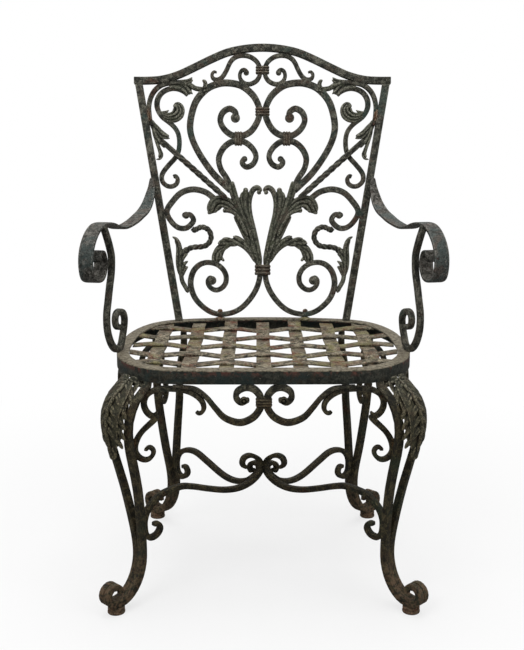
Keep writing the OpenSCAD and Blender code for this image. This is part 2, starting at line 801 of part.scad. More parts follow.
// Rows of the knee leaf: inward distance of its middle rib, height, half width.
knee_rows = [
  [39, 415.7, 22], [30, 408, 25], [13, 396, 23], [-0.5, 382, 27], [-9, 366, 24], [-12.2, 350, 27],
  [-13.4, 334, 22],
  [-12, 318, 24], [-9, 303, 18], [-4, 289, 18], [1, 277, 11], [5, 267, 6]
];

module knee_leaf() {
  n = 6;
  m = len(knee_rows) - 1;
  pts = [for (t = [0, 1]) for (i = [0:m]) for (j = [0:n]) let (
    r = knee_rows[i],
    c = 2 * j / n - 1,
    p = r[0] - gap + leaf_bow * c * c + (j % 2 == 0 ? 0 : 1.6) + t * knee_t,
    q = c * r[2],
    z = knee + min(415.7, r[1] - 8 * abs(c) + (i == 0 ? 9 : 0))
  ) [front_pad[0] - (p + q) / sqrt(2), front_pad[1] - middle + (p - q) / sqrt(2), z]];
  k = (m + 1) * (n + 1);
  function at(t, i, j) = t * k + i * (n + 1) + j;
  color("#3f4032") polyhedron(points = pts, faces = concat(
    [for (i = [0:m - 1]) for (j = [0:n - 1]) for (f = [
      [at(0, i, j), at(0, i + 1, j), at(0, i, j + 1)],
      [at(0, i, j + 1), at(0, i + 1, j), at(0, i + 1, j + 1)],
      [at(1, i, j), at(1, i, j + 1), at(1, i + 1, j)],
      [at(1, i, j + 1), at(1, i + 1, j + 1), at(1, i + 1, j)]
    ]) f],
    [for (i = [0:m - 1]) for (f = [
      [at(0, i, 0), at(1, i, 0), at(0, i + 1, 0)], [at(1, i, 0), at(1, i + 1, 0), at(0, i + 1, 0)],
      [at(0, i, n), at(0, i + 1, n), at(1, i, n)], [at(1, i, n), at(0, i + 1, n), at(1, i + 1, n)]
    ]) f],
    [for (j = [0:n - 1]) for (f = [
      [at(0, 0, j), at(0, 0, j + 1), at(1, 0, j)], [at(1, 0, j), at(0, 0, j + 1), at(1, 0, j + 1)],
      [at(0, m, j), at(1, m, j), at(0, m, j + 1)], [at(1, m, j), at(1, m, j + 1), at(0, m, j + 1)]
    ]) f]
  ));
}

apron_near = (apron_w + gap) / 2;

module apron_shape(e = 0) {
  difference() {
    bar([
      [-152, knee + 412.5], [-132, knee + 411], [-113, knee + 407], [-96, knee + 393], [-81, knee + 374],
      [-65, knee + 357], [-40, knee + 349], [-18, knee + 358], [-apron_near - 1, knee + 374],
      [-apron_near, knee + 384], [-apron_near - 1.5, knee + 396], [-17, knee + 407.5], [-31, knee + 410],
      [-44, knee + 403], [-46, knee + 392], [-38, knee + 384], [-28, knee + 388]
    ], 3 + 2 * e, apron_w * 0.8 + 2 * e, 0, apron_w * 0.55);
    translate([-200, under_band]) square([400, 50]);
  }
}

module front_apron_scroll() {
  color("#30322a") upright([0, apron_set], [1, apron_set]) slab(apron_w) apron_shape();
}

module apron_collar() {
  color("#4a4a3c") upright([0, apron_set], [1, apron_set])
    collar(0, knee + 384, 4 * apron_near + 1.4, apron_w + gap, 9);
}

// Bracket scroll in the corner between a leg and the band, drawn from the
// top of the leg bar.
module bracket_shape() {
  bar([
    [83, knee + 371], [89, knee + 365], [97, knee + 370], [95, knee + 383.5], [85, knee + 396],
    [69, knee + 403],
    [50, knee + 406], [30, knee + 405.5], [12, knee + 400.5], [-1, knee + 389], [-7, knee + 374.5],
    [-3, knee + 361],
    [5, knee + 353.5], [13, knee + 353], [17, knee + 362]
  ], bracket_w * 0.95, bracket_w * 0.4, 0, 1.5);
  bar([
    [12, knee + 351], [4, knee + 342.5], [-7, knee + 332], [-18, knee + 317], [-24, knee + 300],
    [-20.5, knee + 286],
    [-9, knee + 277], [4.5, knee + 282], [8, knee + 294], [0, knee + 299.5]
  ], bracket_w * 0.9, bracket_w * 0.8, bracket_w, 1);
}

// Where the brackets start, from the tops of the leg bars. The ones at the
// rear legs lie flat against the inner sides of the bars.
front_bracket_off = 1;
side_bracket_off = 0.6;
rear_bracket_in = leg_w + gap + bracket_w / 2 + 1.9;

module front_bracket() {
  a = ring(bracket_in)[front_seats[0]];
  b = [a[0] - 100, apron_set + 1];
  color("#34362c") difference() {
    upright(a, b) slab(bracket_w) translate([front_bracket_off, 0]) bracket_shape();
    upright([0, apron_set], [1, apron_set]) slab(apron_w * 3) scale([-1, 1]) apron_shape(gap);
  }
}

module side_front_bracket() {
  a = ring(bracket_in)[front_seats[1]];
  b = ring(bracket_in)[front_seats[1] + 7];
  color("#34362c") upright(a, b) slab(bracket_w) translate([side_bracket_off, 0]) bracket_shape();
}

module side_rear_bracket() {
  a = ring(rear_bracket_in)[rear_seats[1]];
  b = ring(rear_bracket_in)[rear_seats[1] - 6];
  color("#34362c") upright(a, b) slab(bracket_w) bracket_shape();
}

// Stretcher bars run from the ankles of the left legs to the middle.
cross_at = [0, (front_pad[1] + rear_pad[1]) / 2];
ankle_in = 51;
front_ankle = [-front_pad[0] + ankle_in / sqrt(2), front_pad[1] + ankle_in / sqrt(2)];
rear_ankle = [-rear_pad[0] + ankle_in / sqrt(2), rear_pad[1] - ankle_in / sqrt(2)];
hook_near = leg_w / 2 + gap + stretcher_w / 2 + 1.8;

module front_stretcher() {
  e = norm(cross_at - front_ankle) - stretcher_w * 1.1;
  h = hook_near;
  color("#2e3028") upright(front_ankle, cross_at) slab(stretcher_w)
    bar([
      [h + 19, 140], [h + 29, 139], [h + 33, 129], [h + 25, 119], [h + 12, 117], [h + 3, 125],
      [h, 139], [h + 1, 155],
      [h + 8, 170], [h + 23, 184], [h + 42, 193], [h + 68, 196], [113, 192], [152, 180], [200, 166],
      [e - 36, 166],
      [e - 17, 173], [e - 4, 184], [e, 197], [e - 7, 208], [e - 19, 209], [e - 26, 201], [e - 21, 193]
    ], stretcher_w * 0.8, stretcher_w * 0.8, 0, stretcher_w * 0.2);
}

module rear_stretcher() {
  e = norm(cross_at - rear_ankle) - stretcher_w * 1.1;
  h = hook_near;
  color("#2e3028") upright(rear_ankle, cross_at) slab(stretcher_w)
    bar([
      [h + 19, 136], [h + 29, 135], [h + 33, 125], [h + 25, 115], [h + 12, 112], [h + 3, 119],
      [h, 132], [h + 2, 149],
      [h + 13, 164], [h + 35, 174], [h + 68, 171], [126, 157], [162, 146], [196, 146], [e - 20, 158],
      [e - 5, 174], [e, 190], [e - 6, 202], [e - 18, 204], [e - 25, 196], [e - 20, 188]
    ], stretcher_w * 0.8, stretcher_w * 0.8, 0, stretcher_w * 0.2);
}

module flip() {
  mirror([1, 0, 0]) children();
}

module both() {
  children();
  flip() children();
}

top_rail();
stile();  // left_stile
flip() stile();  // right_stile
crest_scroll();  // left_crest_scroll
flip() crest_scroll();  // right_crest_scroll
heart_scroll();  // left_heart_scroll
flip() heart_scroll();  // right_heart_scroll
inner_scroll();  // left_inner_scroll
flip() inner_scroll();  // right_inner_scroll
corner_scroll();  // left_corner_scroll
flip() corner_scroll();  // right_corner_scroll
corner_leaf();  // left_corner_leaf
flip() corner_leaf();  // right_corner_leaf
corner_s();  // left_corner_s
flip() corner_s();  // right_corner_s
volute_leaf();  // left_volute_leaf
flip() volute_leaf();  // right_volute_leaf
twisted_bar();  // left_twisted_bar
flip() twisted_bar();  // right_twisted_bar
bar_leaf();  // left_bar_leaf
flip() bar_leaf();  // right_bar_leaf
side_scroll();  // left_side_scroll
flip() side_scroll();  // right_side_scroll
hook_bar();  // left_hook_bar
flip() hook_bar();  // right_hook_bar
side_leaf();  // left_side_leaf
flip() side_leaf();  // right_side_leaf
base_scroll();  // left_base_scroll
flip() base_scroll();  // right_base_scroll
base_leaf();  // left_base_leaf
flip() base_leaf();  // right_base_leaf
stem_leaf();  // left_stem_leaf
flip() stem_leaf();  // right_stem_leaf
arm();  // left_arm
flip() arm();  // right_arm
arm_support();  // left_arm_support
flip() arm_support();  // right_arm_support
flip() knee_leaf();  // left_knee_leaf
knee_leaf();  // right_knee_leaf
front_apron_scroll();  // left_apron_scroll
flip() front_apron_scroll();  // right_apron_scroll
back_collars();
back_bosses();
seat_frame();
long_straps();
cross_straps();
foot_pads();
apron_collar();
flip() front_leg();  // front_left_leg
front_leg();  // front_right_leg
flip() rear_leg();  // rear_left_leg
rear_leg();  // rear_right_leg
both() front_bracket();  // front_brackets
both() side_front_bracket();  // side_front_brackets
both() side_rear_bracket();  // side_rear_brackets
front_stretcher();  // front_left_stretcher
flip() front_stretcher();  // front_right_stretcher
rear_stretcher();  // rear_left_stretcher
flip() rear_stretcher();  // rear_right_stretcher
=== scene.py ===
"""Looks of a wrought iron garden armchair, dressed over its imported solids."""

from __future__ import annotations

import json
import logging
import math
from dataclasses import dataclass, replace
from enum import Enum
from functools import cached_property
from typing import Callable, Iterable, Sequence
import bmesh
import bpy
from mathutils import Matrix, Vector


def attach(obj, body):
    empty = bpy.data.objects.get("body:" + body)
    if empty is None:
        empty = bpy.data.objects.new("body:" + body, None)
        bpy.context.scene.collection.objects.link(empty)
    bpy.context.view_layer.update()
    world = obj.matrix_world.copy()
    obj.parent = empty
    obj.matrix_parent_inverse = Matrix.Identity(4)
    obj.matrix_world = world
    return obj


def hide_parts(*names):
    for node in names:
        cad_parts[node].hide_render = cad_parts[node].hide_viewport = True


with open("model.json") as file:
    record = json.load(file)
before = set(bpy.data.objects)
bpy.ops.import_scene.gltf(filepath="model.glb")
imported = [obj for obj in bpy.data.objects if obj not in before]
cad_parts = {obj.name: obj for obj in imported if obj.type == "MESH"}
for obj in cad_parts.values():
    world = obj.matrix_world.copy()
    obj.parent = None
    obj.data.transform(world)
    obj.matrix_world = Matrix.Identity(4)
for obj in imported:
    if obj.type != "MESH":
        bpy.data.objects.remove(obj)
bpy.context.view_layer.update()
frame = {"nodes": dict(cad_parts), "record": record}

Mesh = bmesh.types.BMesh
Face = bmesh.types.BMFace
Socket = bpy.types.NodeSocket
Material = bpy.types.Material
Colour = tuple[float, float, float]
Point = tuple[float, ...]

LOG = logging.getLogger("chair")
BODY = "root"
SIDES = ("left", "right")
MM = 0.001
WHITE = (1.0, 1.0, 1.0)

# Values of the "groove" attribute: on flat faces and on worn edges. Above the first, in grooves and hollows, the
# paints lay a painted shade.
GROOVE = "groove"
FLAT = 0.5
EDGE = 0.2


class Slot(Enum):
    """Material slots of the record."""

    BARS = "bars"
    BAND = "seat_band"
    ARMS = "arms"
    STRAPS = "straps"
    LEAVES = "cast_leaves"


class Extra(Enum):
    """Paints that some pieces wear in place of their slot's own."""

    FEET = "feet"
    COLLARS = "collars"
    WELDS = "welds"


Paints = dict[Slot | Extra, Material]


@dataclass(frozen=True)
class Grain:
    """Pattern of noise: cells for each metre, octaves, strength of the finer ones and distortion."""

    scale: float
    detail: float = 6.0
    rough: float = 0.6
    warp: float = 0.0


class Graph:
    """Short hand for the nodes and links of a material or of the world."""

    def __init__(self, owner: Material | bpy.types.World) -> None:
        """Starts without nodes.

        Args:
            owner: what the nodes belong to.
        """
        owner.use_nodes = True
        self.owner = owner
        self.tree = owner.node_tree
        self.tree.nodes.clear()

    @cached_property
    def place(self) -> Socket:
        """Object coordinates."""
        return self.node("TexCoord").outputs["Object"]

    def fill(self, socket: Socket, value: object) -> None:
        """Links a socket or sets its value.

        Args:
            socket: the input.
            value: another socket, a number or a colour.
        """
        if isinstance(value, Socket):
            self.tree.links.new(value, socket)
        else:
            socket.default_value = (*value, 1.0) if isinstance(value, tuple) else value

    def node(self, kind: str, **inputs: object) -> bpy.types.Node:
        """Adds a node and fills its sockets.

        Args:
            kind: node type without its prefix.
            inputs: values by the sockets' names, with underscores for spaces.

        Returns:
            The node.
        """
        made = self.tree.nodes.new("ShaderNode" + kind)
        for key, value in inputs.items():
            self.fill(made.inputs[key.replace("_", " ")], value)
        return made

    def noise(self, grain: Grain) -> Socket:
        """Noise on the object's own coordinates.

        Args:
            grain: its pattern.

        Returns:
            The noise value.
        """
        made = self.node("TexNoise", Vector=self.place, Scale=grain.scale, Detail=grain.detail,
                         Roughness=grain.rough, Distortion=grain.warp)
        return made.outputs["Fac"]

    def ramp(self, value: Socket, places: Sequence[float], colours: Sequence[Colour]) -> Socket:
        """Colour ramp.

        Args:
            value: socket that drives it.
            places: places of the stops.
            colours: their colours.

        Returns:
            The colour.
        """
        made = self.node("ValToRGB", Fac=value)
        stops = made.color_ramp.elements
        while len(stops) < len(places):
            stops.new(0.5)
        for stop, place, colour in zip(stops, places, colours):
            stop.position = place
            stop.color = (*colour, 1.0)
        return made.outputs["Color"]

    def step(self, value: Socket, low: float, high: float, to: float = 1.0) -> Socket:
        """Smooth step from 0 at low to a top value at high.

        Args:
            value: socket that drives it.
            low: where it starts to rise.
            high: where it is full.
            to: the top value.

        Returns:
            The stepped value.
        """
        made = self.node("MapRange", Value=value, From_Min=low, From_Max=high, To_Max=to)
        made.interpolation_type = "SMOOTHSTEP"
        return made.outputs["Result"]

    def math(self, kind: str, a: object, b: object) -> Socket:
        """Arithmetic on two sockets or numbers.

        Args:
            kind: operation.
            a: first value.
            b: second value.

        Returns:
            The result.
        """
        made = self.node("Math")
        made.operation = kind
        self.fill(made.inputs[0], a)
        self.fill(made.inputs[1], b)
        return made.outputs[0]

    def both(self, a: object, b: object) -> Socket:
        """Product of two values."""
        return self.math("MULTIPLY", a, b)

    def mix(self, share: object, low: object, high: object, kind: str = "MIX") -> Socket:
        """Mixes two colours.

        Args:
            share: how much of the second one.
            low: first colour or socket.
            high: second colour or socket.
            kind: way of mixing.

        Returns:
            The mixed colour.
        """
        made = self.node("Mix")
        made.data_type = "RGBA"
        made.blend_type = kind
        for socket, value in ((0, share), (6, low), (7, high)):
            self.fill(made.inputs[socket], value)
        return made.outputs[2]

    def mix_shaders(self, share: Socket, low: bpy.types.Node, high: bpy.types.Node) -> Socket:
        """Mixes two shaders.

        Args:
            share: how much of the second one.
            low: first shader.
            high: second shader.

        Returns:
            The mixed shader.
        """
        made = self.node("MixShader", Fac=share)
        self.fill(made.inputs[1], low.outputs[0])
        self.fill(made.inputs[2], high.outputs[0])
        return made.outputs[0]

    def show(self, shader: Socket) -> None:
        """Puts out a shader."""
        world = isinstance(self.owner, bpy.types.World)
        self.node("OutputWorld" if world else "OutputMaterial", Surface=shader)


@dataclass(frozen=True)
class WeatheredPaint:
    """Old outdoor paint over iron: mottled shades, chalky speckle, rust, pits, painted shade in grooves, soil near
    the ground, and a darker, browner tone below the seat.

    A value that ends in from is where a layer starts to show in its noise, one that ends in cover is over how
    much noise it grows, and how much of it there is at last. Heights and depths are in metres.
    """

    name: str
    paint: Colour = (0.05, 0.05, 0.038)
    shade: Colour = (0.011, 0.011, 0.007)
    light: Colour = (0.15, 0.143, 0.112)
    chalk: Colour = (0.28, 0.272, 0.215)
    rust: Colour = (0.075, 0.04, 0.027)
    bare: Colour = (0.03, 0.018, 0.012)
    tint: Colour = (0.034, 0.056, 0.046)
    warm: Colour = (0.078, 0.06, 0.043)
    # Darker, browner tone that the paint is multiplied by below the seat.
    dirt: Colour = (0.56, 0.48, 0.31)
    soil: Colour = (0.15, 0.095, 0.056)
    rust_from: float = 0.585
    rust_cover: tuple[float, float] = (0.08, 0.9)
    chalk_from: float = 0.585
    chalk_cover: tuple[float, float] = (0.08, 0.8)
    tint_from: float = 0.56
    tint_cover: tuple[float, float] = (0.09, 0.75)
    warm_from: float = 0.52
    warm_cover: tuple[float, float] = (0.1, 0.7)
    shades_at: Point = (0.42, 0.5, 0.59)
    rusts_at: Point = (0.38, 0.52, 0.68)
    fresh_rust: float = 2.1
    chalky_where: tuple[float, float] = (0.34, 0.56)
    worn: float = 0.5
    worn_where: tuple[float, float] = (0.4, 0.58)
    pit: float = 0.0009
    pits_at: tuple[float, float] = (0.4, 0.47)
    pit_shade: float = 0.5
    # Painted shade in grooves and hollows: the groove values where it starts and is full with its share, and how
    # far the shade colour is dimmed for it.
    dirty_from: tuple[float, float, float] = (0.52, 0.8, 0.9)
    dirty_shade: float = 0.4
    # Height below which the paint takes the darker, browner tone, and over how much height it fades in.
    dirt_below: float = 0.455
    dirt_fade: float = 0.09
    soil_below: tuple[float, float, float] = (0.13, 0.03, 0.75)
    soil_where: tuple[float, float] = (0.42, 0.6)
    rough: float = 0.7
    bump: float = 0.9
    sheen: float = 0.22
    broad: Grain = Grain(9.0, 4.0, 0.55)
    mottle: Grain = Grain(88.0, 7.0, 0.7, 0.5)
    grit: Grain = Grain(290.0, 4.0, 0.7)
    specks: Grain = Grain(609.0, 3.0, 0.6)
    patch: Grain = Grain(26.0, 7.0, 0.68, 1.1)
    tinting: Grain = Grain(15.0, 5.0, 0.6, 0.7)
    warming: Grain = Grain(31.0, 5.0, 0.65, 0.9)
    soiling: Grain = Grain(120.0, 6.0, 0.7)

    def build(self) -> Material:
        """Makes the material.

        Returns:
            The finished material.
        """
        g = Graph(bpy.data.materials.new(self.name))
        mottle, grain, pits = g.noise(self.mottle), g.noise(self.grit), g.step(g.noise(self.specks), *self.pits_at)
        base = g.ramp(mottle, self.shades_at, (self.shade, self.paint, self.light))
        base = g.mix(self.layer(g, g.noise(self.tinting), self.tint_from, self.tint_cover), base, self.tint)
        base = g.mix(self.layer(g, g.noise(self.warming), self.warm_from, self.warm_cover), base, self.warm)
        chalky = g.both(self.layer(g, grain, self.chalk_from, self.chalk_cover),
                        g.step(g.noise(self.broad), *self.chalky_where))
        base = g.mix(chalky, base, self.chalk)
        rusty = self.layer(g, g.noise(self.patch), self.rust_from, self.rust_cover)
        rusts = (self.bare, self.rust, dimmed(self.rust, self.fresh_rust))
        base = g.mix(rusty, base, g.ramp(grain, self.rusts_at, rusts))
        attribute = g.node("Attribute")
        attribute.attribute_name = GROOVE
        groove = attribute.outputs["Fac"]
        edge = g.both(g.step(groove, FLAT, EDGE, self.worn), g.step(grain, *self.worn_where))
        base = g.mix(edge, base, self.chalk)
        base = g.mix(pits, dimmed(self.shade, self.pit_shade), base)
        # Painted shade: grooves and hollows marked by the groove attribute are darkened towards a dimmed shade
        # colour.
        base = g.mix(g.step(groove, *self.dirty_from), base, dimmed(self.shade, self.dirty_shade))
        height = g.math("ADD", g.both(grain, 0.8), g.both(g.math("SUBTRACT", pits, rusty), 0.35))
        height = g.math("ADD", height, g.both(mottle, 1.4))
        rough = g.math("ADD", g.both(rusty, 0.15), g.both(g.math("ADD", grain, mottle), 0.2))
        shader = g.node(
            "BsdfPrincipled", Base_Color=self.dirtied(g, base), Roughness=g.math("ADD", rough, self.rough - 0.2),
            Metallic=0.0, Specular_IOR_Level=self.sheen,
            Normal=g.node("Bump", Strength=self.bump, Distance=self.pit, Height=height).outputs["Normal"])
        g.show(shader.outputs["BSDF"])
        return g.owner

    @staticmethod
    def layer(g: Graph, noise: Socket, start: float, cover: tuple[float, float]) -> Socket:
        """Share of a layer that lies in patches.

        Args:
            g: nodes of the material.
            noise: its patches.
            start: noise value where it starts to show.
            cover: over how much noise it grows, and how much of it there is at last.

        Returns:
            The share.
        """
        ease, full = cover
        return g.step(noise, start, start + ease, full)

    def dirtied(self, g: Graph, base: Socket) -> Socket:
        """Darkens and browns the paint below the seat, and soils it near the ground.

        Args:
            g: nodes of the material.
            base: its colour so far.

        Returns:
            The colour with the dirt.
        """
        height = g.node("SeparateXYZ", Vector=g.place).outputs["Z"]
        # The paint is multiplied darker and browner below the seat.
        veil = g.mix(g.step(height, self.dirt_below, self.dirt_below - self.dirt_fade), WHITE, self.dirt)
        soil = g.both(g.step(height, *self.soil_below), g.step(g.noise(self.soiling), *self.soil_where))
        return g.mix(soil, g.mix(1.0, base, veil, "MULTIPLY"), self.soil)


def dimmed(colour: Colour, share: float) -> Colour:
    """A colour times a number."""
    return tuple(share * c for c in colour)


@dataclass(frozen=True)
class BandPaint(WeatheredPaint):
    """Dark paint of the seat's band, worn to a tan primer on its flat top."""

    top: float = 0.4379
    chip: float = 0.006
    primer_edge: float = 0.0006
    tan: Colour = (0.15, 0.13, 0.09)
    pale: Colour = (0.27, 0.235, 0.175)
    stain: Colour = (0.028, 0.022, 0.014)
    primers_at: Point = (0.38, 0.48, 0.64)
    red: Colour = (0.1, 0.034, 0.024)
    reds_at: Point = (0.36, 0.52, 0.7)
    fresh_red: float = 1.7
    reach: float = 0.011
    red_where: tuple[float, float, float] = (0.5, 0.58, 0.85)
    wave: Grain = Grain(34.0, 6.0, 0.7, 0.8)
    speckle: Grain = Grain(150.0, 6.0, 0.72, 0.3)

    def dirtied(self, g: Graph, base: Socket) -> Socket:
        """Lays rust under the upper edge, and speckled primer over the top.

        Args:
            g: nodes of the material.
            base: its colour so far.

        Returns:
            The colour with rust and primer.
        """
        height = g.node("SeparateXYZ", Vector=g.place).outputs["Z"]
        wave = g.noise(self.wave)
        under = g.both(g.step(height, self.top - self.reach, self.top), g.step(wave, *self.red_where))
        reds = (self.bare, self.red, dimmed(self.red, self.fresh_red))
        base = g.mix(under, base, g.ramp(g.noise(self.grit), self.reds_at, reds))
        primer = g.ramp(g.noise(self.speckle), self.primers_at, (self.stain, self.tan, self.pale))
        chipped = g.math("ADD", height, g.both(g.math("SUBTRACT", wave, 0.5), self.chip))
        return g.mix(g.step(chipped, self.top, self.top + self.primer_edge), base, primer)


@dataclass(frozen=True)
class Finishes:
    """The chair's paints."""

    bars: WeatheredPaint = WeatheredPaint("bar_paint")
    band: WeatheredPaint = BandPaint(
        "band_paint", paint=(0.024, 0.026, 0.02), shade=(0.008, 0.009, 0.006), light=(0.05, 0.05, 0.038),
        tint=(0.014, 0.026, 0.024), tint_from=0.5, chalk_from=0.66, rust_from=0.64, worn=0.4,
        warm=(0.034, 0.026, 0.015), warm_from=0.54)
    arms: WeatheredPaint = WeatheredPaint(
        "arm_paint", paint=(0.06, 0.055, 0.046), light=(0.15, 0.142, 0.125), chalk=(0.29, 0.275, 0.245),
        rust=(0.075, 0.034, 0.03), rust_from=0.58, chalk_from=0.56, tint=(0.048, 0.066, 0.062), tint_from=0.48,
        warm=(0.085, 0.064, 0.05), warm_from=0.54)
    straps: WeatheredPaint = WeatheredPaint(
        "strap_paint", paint=(0.14, 0.12, 0.08), shade=(0.016, 0.013, 0.008), light=(0.33, 0.285, 0.205),
        chalk=(0.47, 0.43, 0.31), chalk_from=0.57, rust=(0.155, 0.066, 0.042), bare=(0.05, 0.028, 0.018),
        rust_from=0.55, tint=(0.21, 0.19, 0.08), tint_from=0.52, warm=(0.17, 0.105, 0.07), warm_from=0.53,
        rough=0.78, dirt=WHITE)
    leaves: WeatheredPaint = WeatheredPaint(
        "leaf_paint", paint=(0.044, 0.047, 0.031), shade=(0.016, 0.017, 0.01), light=(0.1, 0.102, 0.072),
        rust_from=0.64, rough=0.66, worn=0.9, tint=(0.05, 0.056, 0.03), dirt=(0.7, 0.62, 0.48))
    feet: WeatheredPaint = WeatheredPaint(
        "foot_paint", paint=(0.085, 0.06, 0.038), shade=(0.022, 0.014, 0.008), light=(0.2, 0.15, 0.1),
        rust=(0.12, 0.052, 0.032), rust_from=0.52, chalk_from=0.6, dirt=(1.0, 0.9, 0.8))
    collars: WeatheredPaint = WeatheredPaint(
        "collar_paint", paint=(0.066, 0.05, 0.034), shade=(0.02, 0.014, 0.009), light=(0.15, 0.122, 0.088),
        rust=(0.1, 0.05, 0.032), rust_from=0.56, tint=(0.07, 0.05, 0.035), warm=(0.09, 0.064, 0.043), worn=0.6)
    welds: WeatheredPaint = WeatheredPaint(
        "weld_rust", paint=(0.074, 0.043, 0.025), shade=(0.02, 0.012, 0.007), light=(0.15, 0.088, 0.05),
        rust=(0.14, 0.062, 0.03), rust_from=0.48, tint=(0.09, 0.05, 0.025), warm=(0.12, 0.06, 0.03), rough=0.8)

    def build(self) -> Paints:
        """Makes every paint.

        Returns:
            The materials, by slot or by their extra use.
        """
        return {
            Slot.BARS: self.bars.build(), Slot.BAND: self.band.build(), Slot.ARMS: self.arms.build(),
            Slot.STRAPS: self.straps.build(), Slot.LEAVES: self.leaves.build(), Extra.FEET: self.feet.build(),
            Extra.COLLARS: self.collars.build(), Extra.WELDS: self.welds.build()}


def slot_of(node: str) -> Slot:
    """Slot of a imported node, as the record gives it.

    Args:
        node: name of the node.

    Returns:
        Its slot.
    """
    for part in frame["record"]["subparts"]:
        if part["node"] == node:
            return Slot(part["material_slot"])
    return Slot.BARS


def place(bm: Mesh, name: str, nodes: Sequence[str], slot: Slot, paint: Material) -> None:
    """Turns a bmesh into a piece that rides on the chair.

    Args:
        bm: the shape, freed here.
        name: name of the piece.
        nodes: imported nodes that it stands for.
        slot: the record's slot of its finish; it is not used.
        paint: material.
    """
    mesh = bpy.data.meshes.new(name)
    bm.to_mesh(mesh)
    bm.free()
    piece = bpy.data.objects.new(name, mesh)
    bpy.context.scene.collection.objects.link(piece)
    mesh.materials.append(paint)
    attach(piece, BODY)
    if nodes:
        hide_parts(*nodes)
    LOG.info("%s: %d faces", name, len(mesh.polygons))


def smoothed(bm: Mesh, crease: float) -> Mesh:
    """Shades a shape smooth, apart from its sharp edges.

    Args:
        bm: the shape.
        crease: angle over which an edge stays sharp.

    Returns:
        The same shape.
    """
    for face in bm.faces:
        face.smooth = True
    for edge in bm.edges:
        edge.smooth = not (edge.is_manifold and edge.calc_face_angle() > crease)
    return bm


@dataclass
class ForgedBars:
    """Packed bars and plates with worn, rounded edges."""

    paints: Paints
    edge: float = 1.1 * MM
    segments: int = 2
    crease: float = math.radians(32)
    merge: float = 1e-6
    level: float = math.radians(0.5)
    stouter: tuple[str, ...] = ("heart_scroll", "inner_scroll", "side_scroll")
    swell: float = 0.6 * MM

    def build(self, nodes: Iterable[str]) -> None:
        """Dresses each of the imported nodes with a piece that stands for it."""
        for node in nodes:
            self.dress(node)

    def dress(self, node: str) -> None:
        """Copies a node's mesh, merges it, rounds its edges and paints it.

        Args:
            node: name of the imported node.
        """
        bm = bmesh.new()
        bm.from_mesh(frame["nodes"][node].data)
        bmesh.ops.remove_doubles(bm, verts=bm.verts, dist=self.merge)
        bmesh.ops.dissolve_limit(bm, angle_limit=self.level, verts=bm.verts, edges=bm.edges)
        wear = bm.verts.layers.float.new(GROOVE)
        for v in bm.verts:
            v[wear] = FLAT
        sharp = [e for e in bm.edges if e.is_manifold and e.calc_face_angle() > self.crease]
        cut = bmesh.ops.bevel(
            bm, geom=sharp, offset=self.edge, offset_type="OFFSET", segments=self.segments, profile=0.5,
            affect="EDGES", clamp_overlap=True, material=-1)
        rounded = set(cut["faces"])
        for v in cut["verts"]:
            v[wear] = EDGE if all(f in rounded for f in v.link_faces) else FLAT
        if node.endswith(self.stouter):
            bm.normal_update()
            for v, out in [(v, v.normal.copy()) for v in bm.verts]:
                v.co += out * self.swell
        bmesh.ops.triangulate(bm, faces=[f for f in bm.faces if len(f.verts) > 4])
        paint = self.paints[Extra.FEET if node == "foot_pads" else slot_of(node)]
        place(smoothed(bm, self.crease), node + "_forged", [node], slot_of(node), paint)


@dataclass(frozen=True)
class Stroke:
    """Line of a ridge or a bar: points, each with the width there, in millimetres."""

    line: tuple[Point, ...]
    lift: float = 0.0
    curl: float = 0.0
    depth: float = 0.6

    THINNEST = 1.5

    def stations(self, count: int) -> list[Point]:
        """Points of a smooth curve through the drawn ones.

        Args:
            count: pieces between two drawn points.

        Returns:
            The points, with their widths.
        """
        p = [Vector(q) for q in self.line]
        p = [2 * p[0] - p[1], *p, 2 * p[-1] - p[-2]]
        out = []
        for a, b, c, d in zip(p, p[1:], p[2:], p[3:]):
            slope, bend, turn = c - a, 2 * a - 5 * b + 4 * c - d, 3 * b - a - 3 * c + d
            for t in (k / count for k in range(count)):
                out.append(0.5 * (2 * b + slope * t + bend * t * t + turn * t ** 3))
        return [(*q[:-1], max(q[-1], self.THINNEST)) for q in (*out, p[-2])]


@dataclass(frozen=True)
class Ground:
    """Plane, or open space, that strokes are drawn on, in millimetres from its foot."""

    foot: Point
    ways: tuple[Point, ...]
    front: Point

    @classmethod
    def leaning(cls, foot: Point, degrees: float) -> Ground:
        """Plane that faces the front and leans back: across, and up along it.

        Args:
            foot: a point of it.
            degrees: its lean.

        Returns:
            The plane.
        """
        lean = math.radians(degrees)
        return cls(foot, ((1, 0, 0), (0, math.sin(lean), math.cos(lean))), (0, -math.cos(lean), math.sin(lean)))

    @classmethod
    def upright(cls, start: Point, end: Point) -> Ground:
        """Upright plane over a line on the floor: along the line, and up.

        Args:
            start: start of the line.
            end: its end.

        Returns:
            The plane.
        """
        way = (Vector(end) - Vector(start)).normalized()
        return cls((*start, 0), ((*way, 0), (0, 0, 1)), (*way.orthogonal(), 0))

    def at(self, *spot: float) -> Vector:
        """Point on the ground.

        Args:
            spot: distances along its ways, and at last out of its front.

        Returns:
            The point in metres.
        """
        point = Vector(self.foot)
        for distance, way in zip(spot, (*self.ways, self.front)):
            point += Vector(way) * distance
        return point * MM


